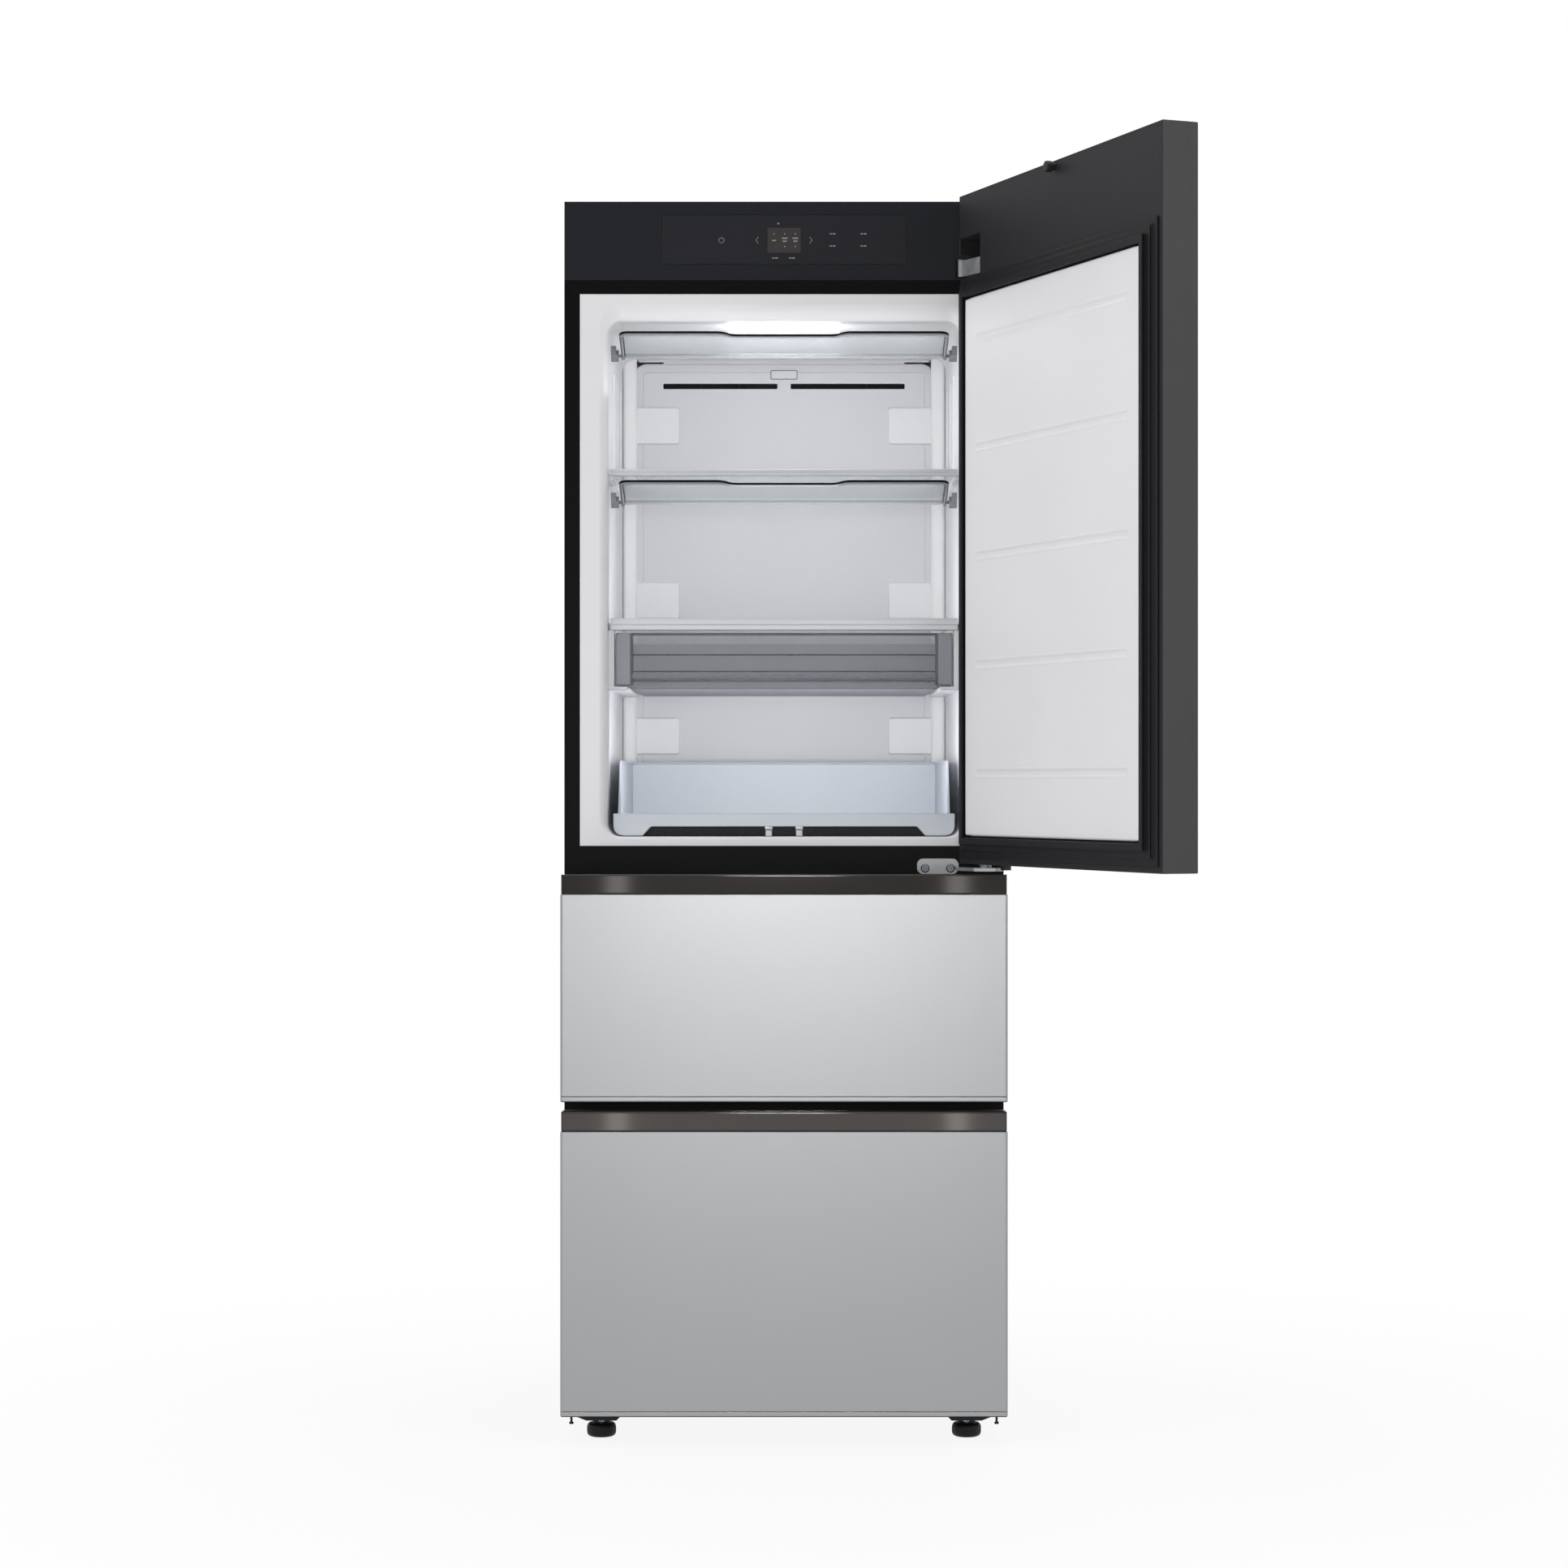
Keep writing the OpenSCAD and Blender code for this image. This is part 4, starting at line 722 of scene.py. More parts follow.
def binFront():
    # low front with round lower corners and the hand recess in its lower edge
    h, (z0, z1) = lowBin["half"], lowBin["z"]
    outline = [(-h, z1), (-h, z0), (-213.2, z0), (-200.5, 918), (200.5, 918), (213.2, z0), (h, z0), (h, z1)]
    loop = softened(outline, [1.5, 18, 2, 2.5, 2.5, 2, 18, 1.5], 8)
    return bar(loop, atDepth, *lowBin["front"], 1.1)


def binBody():
    s, t, back, top, foot = lowBin["side"], 3, lowBin["back"], lowBin["top"], lowBin["foot"]
    wallLoop = [(92.5, 911.8), (92.5, 937), (150, top), (back, top), (back, 911.8)]
    wall = softened(wallLoop, [1, 3, 8, 4, 1], 4)
    side = bar(wall, atSide, s - t, s, 0.7)
    floor = softBlock(-s + 1, s - 1, 97.5, back - 1, foot, foot + t, 0.8)
    rear = softBlock(-s + 1, s - 1, back - t, back, foot, top, 0.9)
    x = s - 1.7
    rim = [(x, 152.5, 1015.6), (x, 556.5, 1016), (-x, 556.5, 1016), (-x, 152.5, 1015.6)]
    lip = tube(bentRoute(rim, [0, 9, 9, 0], 5), 1.9, 10)
    return [*both(side), floor, rear, lip]


binRibs = [softBlock(x - 5, x + 5, 92.5, 550, 903.4, 912.4, 1.0) for x in (23, 231.5)]
makePiece("binShell", "bottom_bin", "binBlue", [binFront(), *binBody(), *both(*binRibs)],
    stands=["bottom_bin"], sharp=40)
# painted shade: black blocks fill the gap under the bin's front, between its skids
gapSpans = ((-226, -28.5), (-17.5, 17.5), (28.5, 226))
binGapShadeBlocks = [softBlock(x0, x1, 93.2, 98.5, 903.8, 919.5, 0.6) for x0, x1 in gapSpans]
makePiece("binGapShade", "bottom_bin", "shadeAndSeamBlack", binGapShadeBlocks, slot="bottom_bin")
print("tray and bin made")


def strip(points, width=1.0, y=69.9):
    # flat strokes: a thin tube squeezed against the glass
    p = np.asarray(points, float)
    route = np.stack([p[:, 0], np.full(len(p), y + 0.15), p[:, 1]], 1)
    section = np.array([(-1, 0.16), (-1, -0.1), (1, -0.1), (1, 0.16)]) * [width / 2, 1]
    return swept(route, section, (0, 1.0, 0))


def displayMarks():
    # plain generic signs: a power ring, two arrows, dots and short bars
    turn = np.radians(np.linspace(120, 420, 25))
    ring = strip(np.stack([-93.9 + 3.9 * np.cos(turn), 1798.9 + 3.9 * np.sin(turn)], 1), 0.7)
    stem = strip([(-93.9, 1804.2), (-93.9, 1800.4)], 0.7)
    arrows = [
        strip([(s * 38.4, 1799 + e * 5.0), (s * 42.4, 1799 - e * 0.3)], 0.8) for s in (-1, 1) for e in (-1,
            1)
    ]
    bars = [
        (-13.4, 1772.2), (12.2, 1772.2), (73.2, 1808.7), (119.5, 1808.7), (73.2, 1790.4), (119.5, 1790.4),
    ]
    words = [strip([(x + a, z), (x + a + w, z)], 1.7) for x, z in bars for a,
        w in ((-4.4, 3.2), (-0.2, 4.4))]
    dot = [plate(-9.9, -7.1, 1822.6, 1825.4, 1.4, 69.85, 70.1, 0.05)]
    return [ring, stem, *arrows, *words, *dot]


def windowMarks():
    # inside the display window: three columns of dots and bars
    made = []
    for x in (-15.0, 1.0, 17.0):
        made.append(plate(x - 1, x + 1, 1807.6, 1809.6, 1, 70.2, 70.5, 0.05))
        if x > -10:
            made.append(strip([(x - 4.2, 1802), (x + 4.2, 1802)], 2.0, 70.2))
            made.append(strip([(x - 3.0, 1797.6), (x + 3.0, 1797.6)], 2.0, 70.2))
            made.append(plate(x - 1, x + 1, 1788.6, 1790.6, 1, 70.2, 70.5, 0.05))
        else:
            made.append(strip([(x - 3.0, 1798.6), (x + 3.0, 1798.6)], 1.8, 70.2))
    return made


fixedPiece("displayMarks", "displayMark", displayMarks(), slot="touch_panel")
fixedPiece("displayWindow", "displayGlass", [plate(-24.9, 24.9, 1780.1, 1817.9, 1.0, 70.32, 70.6, 0.1)],
    slot="touch_panel")
fixedPiece("windowMarks", "displayMark", windowMarks(), slot="touch_panel")
# painted highlight: a strip of the lighter header black along each top corner's mitre of the black frame
mitreHighlightLoop = np.array([(329.6, 1738.4), (306.9, 1718.4), (306.9, 1717.8), (329.8, 1738.2)])
mitreHighlightStrip = stacked([atDepth(mitreHighlightLoop, y) for y in (69.9, 70.1)])
fixedPiece("mitreHighlights", "headerBlack", both(mitreHighlightStrip), slot="front_frame")
# painted shade: a black plate behind the header's hinge opening, and black rings round the lower hinge's
# screws for the shade of their recesses
fixedPiece("hingeOpeningShade", "shadeAndSeamBlack", [plate(246, 328, 1742.2, 1805, 1, 79.2, 79.8, 0.2)],
    slot="header_fascia")
screwShadeProfile = [(4.9, 66.6), (6.4, 66.6), (6.7, 66.8), (6.7, 67.1), (4.9, 67.1)]
screwShadeRings = []
for x in (212, 250):
    points = turnedShape(screwShadeProfile, (x, 0, 855.5), "y", 28)[0]
    screwShadeRings.append(stacked(points.reshape(len(screwShadeProfile), 28, 3), around=True))
fixedPiece("screwShadeRings", "shadeAndSeamBlack", screwShadeRings, slot="hinge_middle")
print("header made")

# door
doorPanel = {
    "half": 284.0, "z": (905.0, 1701.0), "face": 65.0, "corner": 4.0, "roll": 4.0, "rim": (54.0, 51.5),
    "grooveDeep": 1.5, "grooveHalf": 5.0, "grooveEnd": 252, "grooveTop": 1638, "groovePitch": 160,
    "grooves": 5,
}


def doorLiner():
    # a grid over the face, rolled down at its rim; grooves are sunk by a smooth bump across, with soft ends
    d = doorPanel
    (z0, z1), r, roll, half = d["z"], d["corner"], d["roll"], d["half"]
    grooveZ = [d["grooveTop"] - i * d["groovePitch"] for i in range(d["grooves"])]
    ends = np.linspace(236, 262, 14)
    xs = np.concatenate([[-half], -ends[::-1], np.linspace(-200, 200, 9), ends, [half]])
    zs = [909.0, 925.0]
    for g in grooveZ[::-1]:
        zs += list(g + np.linspace(-9, 9, 19))
    zs = np.array(sorted(zs + [1664.0, 1697.0]))
    gx, gz = np.meshgrid(xs, zs)
    side = np.clip((d["grooveEnd"] - np.abs(gx)) / 9, 0, 1)
    side = side * side * (3 - 2 * side)
    sink = np.zeros_like(gx)
    for g in grooveZ:
        away = np.abs(gz - g)
        sink += np.clip(1 - (away / d["grooveHalf"]) ** 4, 0, 1) ** 2
        sink -= 0.35 * np.exp(-(((away - 6.4) / 1.4) ** 2))
    depth = d["face"] - d["grooveDeep"] * sink * side
    ny, nx = gx.shape
    grid = np.stack([gx, depth, gz], -1)
    row, col = np.arange(ny - 1)[:, None], np.arange(nx - 1)[None]
    at = row * nx + col
    quads = np.stack([at, at + 1, at + nx + 1, at + nx], -1).reshape(-1, 4)
    index = np.arange(ny * nx).reshape(ny, nx)
    border = np.concatenate([index[0, :], index[1:, -1], index[-1, -2::-1], index[-2:0:-1, 0]])
    edge = grid.reshape(-1, 3)[border]
    rings = []
    a = quarter(6)
    curve = [(roll * math.sin(v), d["face"] - roll + roll * math.cos(v)) for v in a[1:]]
    middle, halfZ = (z0 + z1) / 2, (z1 - z0) / 2 - roll
    for grow, y in curve + [(roll, deep) for deep in d["rim"]]:
        # the border point moves out, and a corner point is drawn onto the corner's circle
        hx, hz, radius = half + grow, halfZ + grow, r + grow - roll
        x = np.clip(edge[:, 0] / half * hx, -hx, hx)
        z = middle + (edge[:, 2] - middle) / halfZ * hz
        ax, az = hx - radius, hz - radius
        qx, qz = np.abs(x) - ax, np.abs(z - middle) - az
        corner = (qx > 0) & (qz > 0)
        k = np.where(corner, np.minimum(radius / np.maximum(np.hypot(qx, qz), 1e-6), 1.0), 1.0)
        x = np.where(corner, np.sign(x) * (ax + qx * k), x)
        z = np.where(corner, middle + np.sign(z - middle) * (az + qz * k), z)
        rings.append(np.stack([x, np.full(len(x), y), z], 1))
    n, base = len(border), ny * nx
    points = np.concatenate([grid.reshape(-1, 3), *rings])
    bands = []
    before = border
    for i in range(len(rings)):
        now = base + i * n + np.arange(n)
        bands.append(np.stack([before, np.roll(before, -1), np.roll(now, -1), now], 1))
        before = now
    return points, np.concatenate([quads, *bands]), [before]


makePiece("doorLinerPanel", "door", "linerWhite", [doorLiner()], onDoor, stands=["door_liner"], sharp=60)


def sealRing(halfX, z0, z1, section):
    # a section (inwards, depth) carried round a mitred frame
    rings = []
    for u, y in section:
        h = halfX - u
        rings.append(np.array([(-h, y, z0 + u), (h, y, z0 + u), (h, y, z1 - u), (-h, y, z1 - u)]))
    return stacked(rings, around=True)


doorSeal = softened([
    (0.6, 54.0), (0.6, 56.4), (2.4, 57.8), (9.0, 57.9), (10.6, 59.2), (10.2, 60.2), (13.6, 61.2),
    (11.2, 62.0), (15.6, 62.9), (20.6, 62.9), (22.4, 64.2), (21.2, 65.0), (23.6, 66.2), (21.4, 67.4),
    (21.8, 69.6), (30.6, 69.6), (31.7, 68.6), (31.7, 66.4), (29.4, 65.4), (31.7, 64.2), (29.4, 63.0),
    (31.7, 61.6), (31.4, 54.0),
], 0.9, 3)
makePiece("doorSeal", "door", "gasketBlack", [sealRing(322, 871, 1735, doorSeal)], onDoor,
    stands=["door_gasket"], sharp=50)
drawerSeal = softened([
    (0.6, 54.0), (0.6, 57.4), (2.4, 58.8), (8.4, 59.0), (10.0, 60.4), (8.6, 61.6), (12.0, 63.0),
    (9.0, 64.6), (12.0, 66.0), (9.0, 67.4), (9.4, 69.6), (26.4, 69.6), (27.6, 68.4), (27.6, 66.4),
    (25.0, 65.0), (27.6, 63.4), (25.0, 61.8), (27.6, 60.2), (27.4, 54.0),
], 0.9, 3)
for name, z0, z1 in (("mid", 521, 840), ("low", 58, 488)):
    ring = sealRing(322, z0, z1, drawerSeal)
    makePiece(name + "Seal", name + "_drawer", "gasketBlack", [ring], stands=[name + "_gasket"], sharp=50)

bumper = [(0, 69.7), (5.6, 69.7), (7.4, 68.8), (8, 67), (8, 61), (7.2, 59.6), (5, 59.1), (5, 54), (0, 54)]
makePiece("doorKnob", "door", "rubber", [turnedShape(bumper, (0, 0, 1851), "y", 32)], onDoor,
    stands=["door_bumper"])

# fronts
front = {"half": 332.0, "fold": 3.4, "deep": 14.0, "sheet": 1.5}


def rolled(start, end, edge, turns=4):
    # stations (along, how far the whole outline has gone back) on a quarter circle at both ends
    a = quarter(turns + 1)
    back, step = edge * (1 - np.sin(a)), edge * (1 - np.cos(a))
    first = [(start + s, b) for s, b in zip(step, back)]
    return first + [(end - s, b) for s, b in zip(step[::-1], back[::-1])]


def foldedSheet(z0, z1):
    # plan of the sheet: flat face, a quarter circle into each side fold, and back inside its thickness
    h, f, d, t = front["half"], front["fold"], front["deep"], front["sheet"]
    a = quarter(7)
    arc = lambda r: np.stack([h - f + r * np.sin(a), f - r * np.cos(a)], 1)
    outer = np.concatenate([arc(f), [(h, d - 0.3), (h - 0.4, d)]])
    inner = np.concatenate([[(h - t + 0.3, d), (h - t, d - 0.3)], arc(f - t)[::-1]])
    right = np.concatenate([outer, inner])
    left = right[::-1] * [-1, 1]
    loop = np.concatenate([right, left])
    return stacked([atHeight(loop + [0.0, b], z) for z, b in rolled(z0, z1, 1.2)])


# each drawer's sheet ends in a narrow hem along its lower edge
fronts = (("mid", 511, 818.5), ("low", 44, 466.5))
for name, z0, z1 in fronts:
    sheets = [foldedSheet(z0, z0 + 7.2), foldedSheet(z0 + 7.2, z1)]
    makePiece(name + "Face", name + "_drawer", "satinSilver", sheets, stands=[name + "_skin"], sharp=50)
# the door's sheet lies in a dark edge frame
makePiece("doorEdge", "door", "doorSideGrey", [moved(foldedSheet(863.2, 1859.8), (0, 0.5, 0))], onDoor,
    stands=["door_skin"], sharp=50)
makePiece("doorFace", "door", "satinSilver", [plate(-328.9, 328.9, 865, 1858, 1.5, 0.05, 1.4, 0.9)], onDoor,
    slot="door_skin", sharp=50)

# shut lines of the door's inner face
linePlaces = (
    (-330.6, 331.0, 1857.6, 1858.9), (-330.6, 331.0, 864.1, 865.4), (-330.9, -329.6, 865.4, 1857.6),
)
lineFrom, lineTo = 53.85, 54.2
doorLines = [softBlock(x0, x1, lineFrom, lineTo, z0, z1, 0.1) for x0, x1, z0, z1 in linePlaces]
makePiece("doorLines", "door", "shadeAndSeamBlack", doorLines, onDoor, slot="door_case")
# painted shade: the hinge pocket is lined in black for the shade in it, which also keeps the foam from
# showing
pocketShadeLining = [
    softBlock(257.05, 257.7, 14.2, 53.4, 1727.2, 1796.8, 0.1),
    softBlock(257.1, 331.0, 14.1, 14.8, 1727.2, 1796.8, 0.1),
    softBlock(257.1, 331.0, 14.2, 53.4, 1796.2, 1796.9, 0.1),
]
# its floor leaves a square open round the hinge pin
pocketShadeFloor = ((257.1, 286, 14.2), (286, 314, 40), (314, 331, 14.2))
pocketShadeLining += [softBlock(x0, x1, y0, 53.4, 1727.1, 1727.8, 0.1) for x0, x1, y0 in pocketShadeFloor]
makePiece("pocketShadeLining", "door", "shadeAndSeamBlack", pocketShadeLining, onDoor, slot="door_case")
# the pocket is closed towards the door's side above the hinge arm; the wall's inner layer is black, painted
# shade, and its outer layer takes the door's side grey
pocketShadeWall = softBlock(329.8, 331.0, 14.6, 53.6, 1772.5, 1797.2, 0.3)
pocketSide = softBlock(330.9, 331.9, 14.6, 53.6, 1772.5, 1797.2, 0.2)
makePiece("pocketShadeWall", "door", "shadeAndSeamBlack", [pocketShadeWall], onDoor, slot="door_case")
makePiece("pocketSide", "door", "doorSideGrey", [pocketSide], onDoor, slot="door_case")


def handleTrim(z1):
    # channel open upwards behind a front wall with a round lip
    outline = [
        (2.6, z1 - 29.4), (34, z1 - 29.4), (34, z1 - 1.1), (31, z1 - 1.1), (31, z1 - 22), (6, z1 - 22),
        (6, z1 - 3), (5.4, z1), (0.5, z1 - 0.1), (0.5, z1 - 27.9), (2.6, z1 - 28.1),
    ]
    loop = softened(outline, [0.3, 0.5, 0.8, 0.8, 5, 3, 1, 1.6, 2.4, 0.5, 0.3], 4)
    return bar(loop, atSide, -329, 329, 0.4)


def trimEnds(z1):
    # plastic closers with the trim's own outline
    outline = [
        (2.6, z1 - 29.2), (34, z1 - 29.2), (34, z1 - 1.1), (6, z1 - 1.1), (5.2, z1 - 0.1), (0.7, z1 - 0.2),
        (0.7, z1 - 28),
    ]
    return both(bar(softened(outline, 1.2, 3), atSide, 329, 330.5, 0.5))


for name, z1 in (("mid", 848), ("low", 496)):
    body, node = name + "_drawer", name + "_trim"
    shadow = softBlock(-329.5, 329.5, 0.2, 1.2, z1 - 30.3, z1 - 27.7, 0.15)
    makePiece(name + "Handle", body, "handleBrown", [handleTrim(z1)], stands=[node], sharp=40)
    makePiece(name + "HandleEnds", body, "trimEnd", trimEnds(z1), slot=node)
    makePiece(name + "HandleShadow", body, "shadeAndSeamBlack", [shadow], slot=node)
# painted shade: a black strip along each drawer sheet's lower edge stands for the shade under it
for name, z0, z1 in fronts:
    hemShade = softBlock(-330.5, 330.5, 0.4, 2.4, z0 - 0.8, z0 + 0.9, 0.15)
    makePiece(name + "HemShade", name + "_drawer", "shadeAndSeamBlack", [hemShade], slot=name + "_skin")
print("door and fronts made")

# feet
footLook = {"x": 275, "y": 88, "ribs": 28, "depth": 0.9}


def footShape(side):
    profile = [
        (0, 0, 0), (17, 0, 0), (20, 1.4, 0), (21.2, 4, 0.4), (21.1, 7, 1), (21.1, 14, 1), (20.6, 17.4, 0.5),
        (18.6, 19.8, 0), (12.4, 20, 0), (12, 20.4, 0), (12, 21.8, 0), (11.4, 22, 0), (5, 22, 0),
        (5, 33.2, 0), (0, 33.2, 0),
    ]
    centre = (side * footLook["x"], footLook["y"], 0)
    return turnedShape(profile, centre, "z", 112, footLook["ribs"], footLook["depth"])


def lockNut(side):
    # bright hexagon under the bracket
    turn = np.arange(6) * np.pi / 3
    loop = softened(7.6 * np.stack([np.cos(turn), np.sin(turn)], 1), 0.6, 2)
    nut = bar(loop, atHeight, 20.2, 24.4, 0.5)
    return moved(nut, (side * footLook["x"], footLook["y"], 0))


for side, body in ((-1, "foot_left"), (1, "foot_right")):
    makePiece(body + "Knob", body, "footBlack", [footShape(side)], stands=[body], sharp=50)
    makePiece(body + "Nut", body, "screwSteel", [lockNut(side)], slot=body)


def panHead(x, y, z, r=5.0):
    # low head: a slightly domed disc with a raised rim and a shallow socket
    dome = [(0, 0.15), (r * 0.3, 0.15), (r * 0.42, 0.5), (r * 0.85, 0.45), (r, 0.1), (r, -0.3), (0, -0.3)]
    return turnedShape(dome, (x, y, z), "y", 20)


rear = {
    "half": 330.0, "z": (263.5, 1857.0), "face": 736.4,
    "beads": (-180, 0, 180), "beadHalf": 6.0, "beadDeep": 0.35,
}


def rearSheet():
    # the face dips by a squared cosine across each bead; plan sections are stacked upwards
    r = rear
    dips = [b + np.linspace(-7, 7, 15) for b in r["beads"]]
    x = np.unique(np.concatenate([[-r["half"], r["half"]], *dips]))
    away = np.min(np.abs(x[None] - np.array(r["beads"])[:, None]), 0)
    share = np.minimum(away / r["beadHalf"], 1)
    dip = r["beadDeep"] * np.where(share < 1, np.cos(np.pi / 2 * share) ** 2, 0)
    z0, z1 = r["z"]
    levels = [(z0, 0), (z0 + 110, 0), (z0 + 122, 1), (z1 - 122, 1), (z1 - 110, 0), (z1, 0)]
    plans = []
    for z, k in levels:
        outside = np.stack([x, r["face"] - k * dip], 1)
        plans.append(atHeight(np.concatenate([[(x[-1], 736.02), (x[0], 736.02)], outside]), z))
    return stacked(plans)


fixedPiece("rearSheet", "galvanised", [rearSheet()], stands=["rear_panel"], sharp=30)
screwPlaces = [(x, z) for x in (-318, 318) for z in (300, 620, 940, 1260, 1580, 1842)]
screwPlaces += [(x, z) for x in (-160, 0, 160) for z in (275.5, 1842)]
fixedPiece("rearScrews", "screwSteel", [panHead(x, rear["face"], z) for x, z in screwPlaces],
    slot="rear_panel")

suction = [(-60, 547, 263), (-60, 547, 96.5), (-60, 635.5, 96.5), (-84, 635.5, 96.5)]
liquid = [(300, 635.5, 263), (300, 635.5, 41.5), (271, 635.5, 41.5)]
dryer = [(3, 70), (4, 76), (9, 82), (9, 148), (4, 154), (3, 160)]
pipes = [
    tube(bentRoute(suction, [0, 12, 12, 0]), 3, 12), tube(bentRoute(liquid, [0, 12, 0]), 3, 12),
    turnedShape(dryer, (300, 635.5, 0), "z", 24),
]
fixedPiece("coolantPipes", "copper", pipes, stands=["pipework"], sharp=50)


def compressorShape():
    # domed can with its weld seam, on two feet
    can = [
        (0, 45.5), (52, 45.5), (61, 49), (65.4, 57), (66, 66), (66, 106.6), (68.6, 107.4), (69, 110),
        (68.6, 112.6), (66, 113.4), (66, 158), (63.6, 167), (56, 176), (44, 182.6), (28, 187), (10, 189.2),
        (0, 189.5),
    ]
    return turnedShape(can, (-150, 635.5, 0), "z", 64)


compFeet = [softBlock(-234, -66, y0, y1, 45.5, 48.5, 1.0) for y0, y1 in ((577.5, 595.5), (675.5, 693.5))]
compBox = softBlock(-170, -130, 549.5, 576, 95.5, 145.5, 4)
fixedPiece("compressorCan", "enamelBlack", [compressorShape(), *compFeet, compBox], stands=["compressor"],
    sharp=40)

coil = {"x": (124, 266), "y": (566, 705), "foot": 46, "pitch": 27, "layers": 6, "passes": 6, "radius": 2.4}


def condenserCoil():
    # layers of serpentine tube, held by upright wires
    (x0, x1), (y0, y1), passes = coil["x"], coil["y"], coil["passes"]
    rows = []
    for i in range(coil["layers"]):
        z = coil["foot"] + i * coil["pitch"]
        path = []
        for j in range(passes):
            x, y = (x0 if (j + i) % 2 else x1), y0 + j * (y1 - y0) / (passes - 1)
            path += [(x, y, z), (x0 + x1 - x, y, z)]
        rows.append(tube(bentRoute(np.array(path), 9), coil["radius"], 8))
    return rows


def condenserWires():
    x = np.linspace(126, 264, 24)
    made = []
    for y in (563.5, 640, 707.5):
        made += [tube([(v, y, 36), (v, y, 202)], 0.8, 5) for v in x]
    return made


sidePlates = [softBlock(x, x + 1.5, 560, 711, 33.6, 203.4, 0.4) for x in (120, 268.5)]
fixedPiece("condenserCoil", "wireGrey", [*condenserCoil(), *condenserWires(), *sidePlates],
    stands=["condenser"], sharp=50)
print("feet, rear and machine parts made")


def combined(tree, operation, first, second):
    node = addNode(tree, "Math", operation=operation)
    wire(tree, first, node.inputs[0])
    wire(tree, second, node.inputs[1])
    return node.outputs[0]


def eitherRay(tree, rays, kinds):
    # one where the ray is of any of these kinds
    total = rays.outputs[kinds[0]]
    for kind in kinds[1:]:
        total = combined(tree, "MAXIMUM", total, rays.outputs[kind])
    return total


def shownMix(tree, share, first, second, outputKind):
    # the first shader where the share is nought, the second where it is one
    blend = addNode(tree, "MixShader")
    for place, source in enumerate((share, first.outputs[0], second.outputs[0])):
        wire(tree, source, blend.inputs[place])
    output = addNode(tree, outputKind)
    wire(tree, blend.outputs[0], output.inputs["Surface"])


# the floor is white to camera, glossy and transmission rays: fully from fadeEnd metres outwards
stageLook = {
    "floor": (0.70, 0.70, 0.705), "whiteShare": 0.90, "fadeStart": 0.7, "fadeEnd": 1.9,
    "halfWide": 14, "near": -12, "far": 16,
}
wide, near, far = stageLook["halfWide"], stageLook["near"], stageLook["far"]
floorMesh = bpy.data.meshes.new("floor")
corners = [(-wide, near, 0), (wide, near, 0), (wide, far, 0), (-wide, far, 0)]
floorMesh.from_pydata(corners, [], [(0, 1, 2, 3)])
floor = linked("floor", floorMesh)
floorPaint = bpy.data.materials.new("paleFloor")
floorPaint.use_nodes = True
tree = floorPaint.node_tree
tree.nodes.clear()
rays = addNode(tree, "LightPath")
plain = addNode(tree, "BsdfDiffuse")
plain.inputs["Color"].default_value = (*stageLook["floor"], 1)
white = addNode(tree, "Emission")
white.inputs["Strength"].default_value = 1.0
spot = addNode(tree, "TexCoord")
away = addNode(tree, "VectorMath", operation="LENGTH")
wire(tree, spot.outputs["Object"], away.inputs[0])
fade = ranged(tree, away.outputs["Value"], stageLook["whiteShare"], 1.0, stageLook["fadeStart"],
    stageLook["fadeEnd"])
seen = eitherRay(tree, rays, ("Is Camera Ray", "Is Glossy Ray", "Is Transmission Ray"))
shownMix(tree, combined(tree, "MULTIPLY", seen, fade), plain, white, "OutputMaterial")
floorMesh.materials.append(floorPaint)

skyLook = {"behindCamera": 0.03, "behindObject": 0.80, "from": -0.80, "to": -0.35, "edge": 0.05}
world = bpy.data.worlds.new("studio")
scene.world = world
world.use_nodes = True
tree = world.node_tree
tree.nodes.clear()
rays = addNode(tree, "LightPath")
look = addNode(tree, "TexCoord")
axes = addNode(tree, "SeparateXYZ")
wire(tree, look.outputs["Generated"], axes.inputs[0])
level = ranged(tree, axes.outputs["Y"], skyLook["behindCamera"], skyLook["behindObject"], skyLook["from"],
    skyLook["to"])
soft = addNode(tree, "Background")
wire(tree, level, soft.inputs["Strength"])
bright = addNode(tree, "Background")
setInputs(bright, {"Strength": 1.0, "Color": (1, 1, 1, 1)})
# metal and glass see the white backdrop too, where it stands behind the object
backdrop = ranged(tree, axes.outputs["Y"], 0.0, 1.0, -skyLook["edge"], skyLook["edge"])
glossy = combined(tree, "MULTIPLY", rays.outputs["Is Glossy Ray"], backdrop)
seen = eitherRay(tree, rays, ("Is Camera Ray", "Is Transmission Ray"))
shownMix(tree, combined(tree, "MAXIMUM", seen, glossy), soft, bright, "OutputWorld")

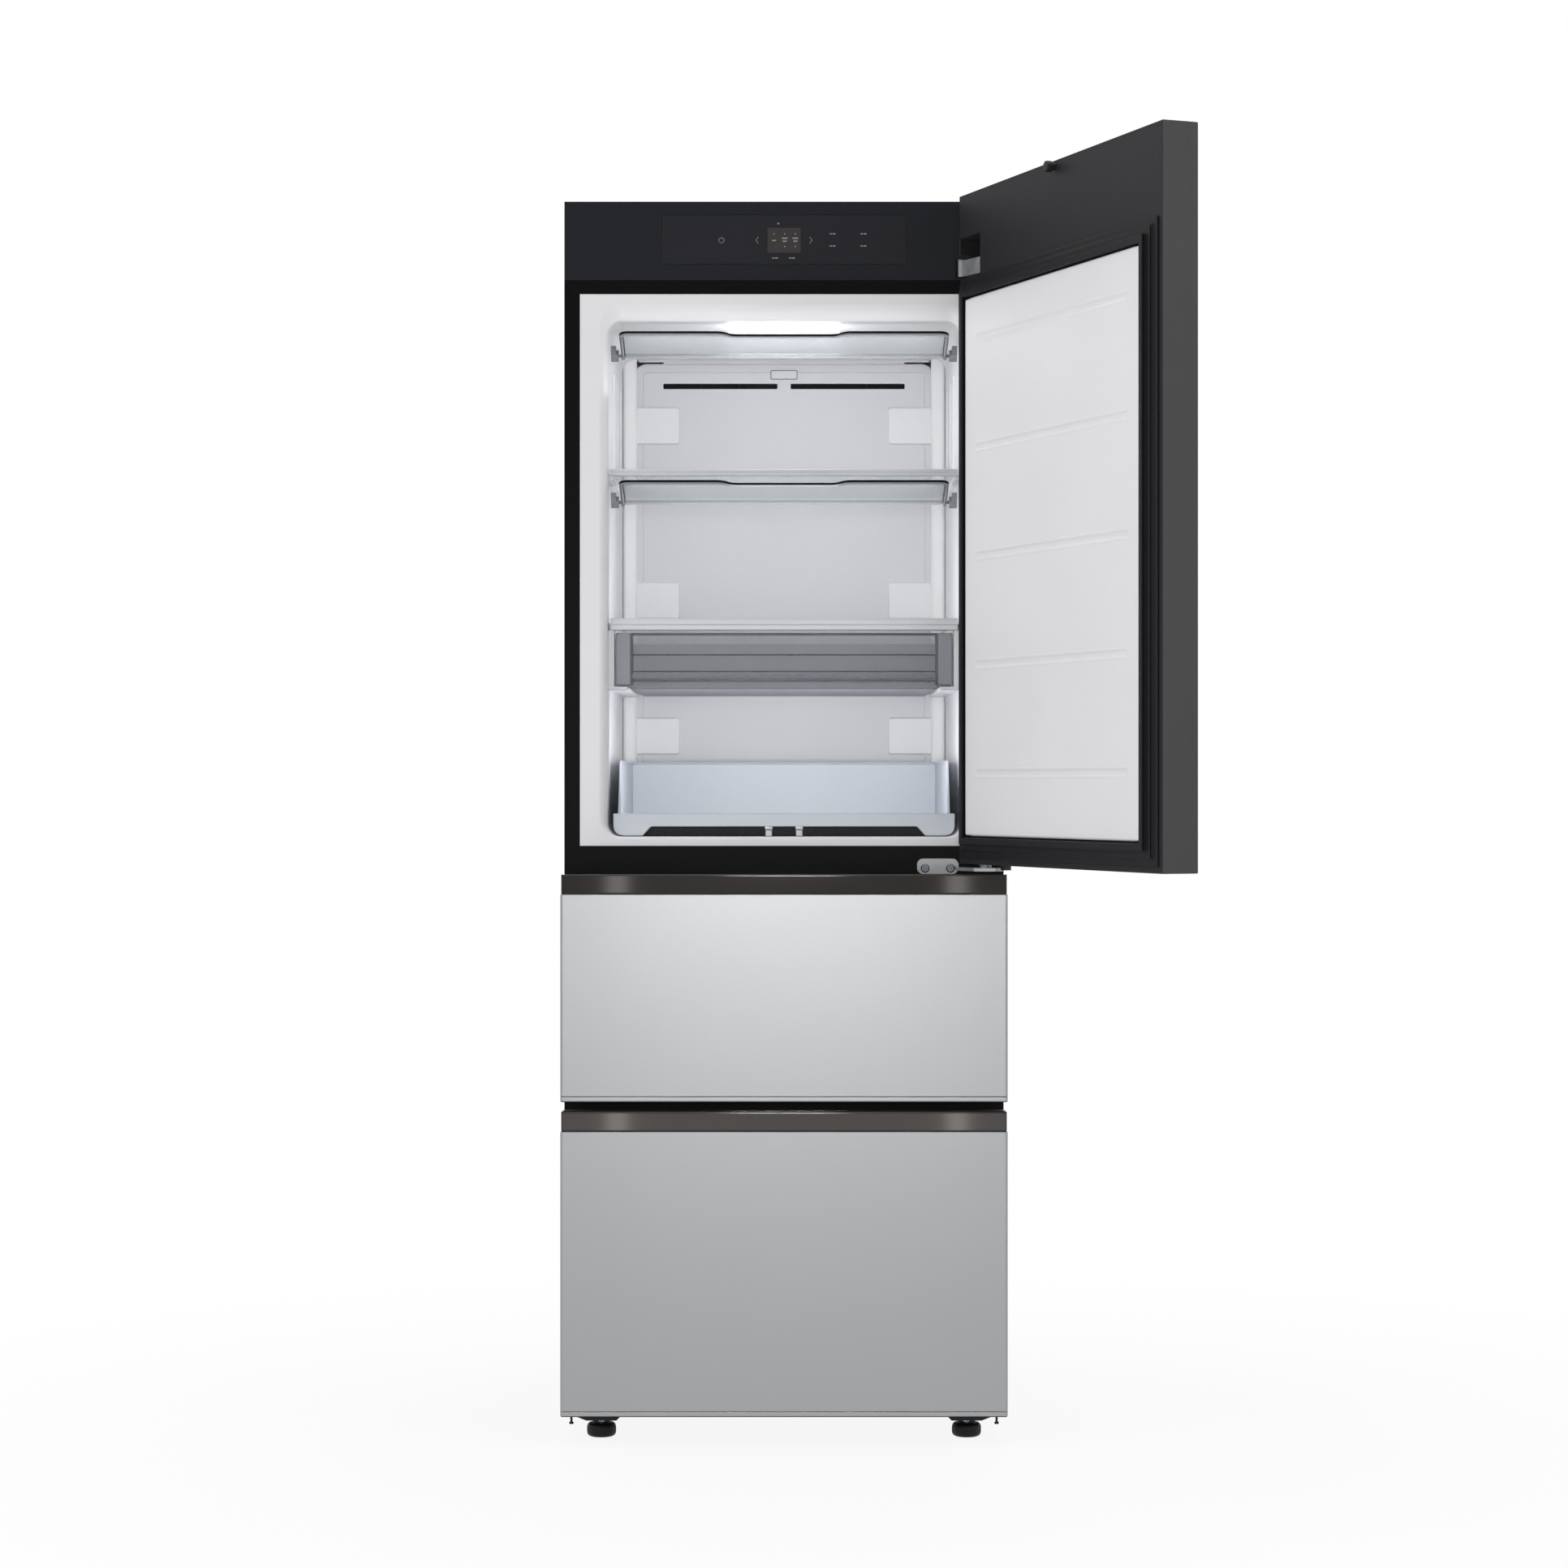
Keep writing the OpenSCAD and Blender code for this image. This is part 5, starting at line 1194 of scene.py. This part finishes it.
lamps = {
    "stripLeft": dict(at=(-0.498, -3.08, 0.53), to=(-0.498, 0, 0.53), size=(0.045, 0.95), power=0.42),
    "stripRight": dict(at=(0.295, -3.08, 0.53), to=(0.295, 0, 0.53), size=(0.045, 0.95), power=0.42),
    "front": dict(at=(-0.109, -5.6, 1.155), to=(-0.109, 0, 1.155), size=(0.32, 0.41), power=42),
    "left": dict(at=(-4.2, -3.2, 2.6), to=(-0.1, 0, 0.9), size=(2.4, 2.6), power=70),
    "right": dict(at=(4.0, -3.4, 2.6), to=(-0.1, 0, 0.9), size=(2.4, 2.6), power=60),
    "top": dict(at=(-0.1, -0.2, 4.6), to=(-0.1, 0.1, 0), size=(3.0, 3.0), power=46),
    "rear": dict(at=(0.4, 4.6, 2.8), to=(-0.1, 0, 0.9), size=(3.0, 2.4), power=90),
    "insideLamp": dict(at=(-0.10875, 0.075, 1.665), to=(-0.10875, 0.075, 0.9), size=(0.17, 0.065),
        power=0.3),
}


def addLamp(name, at, to, size, power, hidden=False):
    light = bpy.data.lights.new(name, "AREA")
    light.shape, light.size, light.size_y, light.energy = "RECTANGLE", size[0], size[1], power
    lamp = linked(name, light)
    lamp.location = at
    aim = np.array(to) - np.array(at)
    yaw = math.atan2(aim[0], -aim[1]) if abs(aim[0]) + abs(aim[1]) > 1e-6 else 0.0
    pitch = math.atan2(math.hypot(aim[0], aim[1]), -aim[2])
    lamp.rotation_euler = (pitch, 0, yaw + math.pi)
    lamp.visible_camera, lamp.visible_glossy = False, not hidden


for name, values in lamps.items():
    addLamp(name, **values)
# soft fills just inside the mouth, seen by no camera
fills = {
    "fillUpper": dict(at=(-0.10875, 0.0285, 1.47), to=(-0.10875, 0.5, 1.47), size=(0.46, 0.37), power=0.76),
    "fillLower": dict(at=(-0.10875, 0.0285, 1.10), to=(-0.10875, 0.5, 1.10), size=(0.46, 0.37), power=1.55),
    "fillTop": dict(at=(-0.10875, 0.0, 1.56), to=(-0.10875, -0.01, 1.70), size=(0.50, 0.03), power=0.16),
}
for name, values in fills.items():
    addLamp(name, hidden=True, **values)

view = {"lens": 81.42, "x": -0.10875, "y": -5.33947, "z": 0.982}
camera = bpy.data.cameras.new("camera")
camera.sensor_width, camera.lens = 36.0, view["lens"]
camera.clip_end = 100
eye = linked("camera", camera)
eye.location = (view["x"], view["y"], view["z"])
eye.rotation_euler = (math.pi / 2, 0, 0)
scene.camera = eye
scene.view_settings.view_transform = "Standard"
print("stage set")
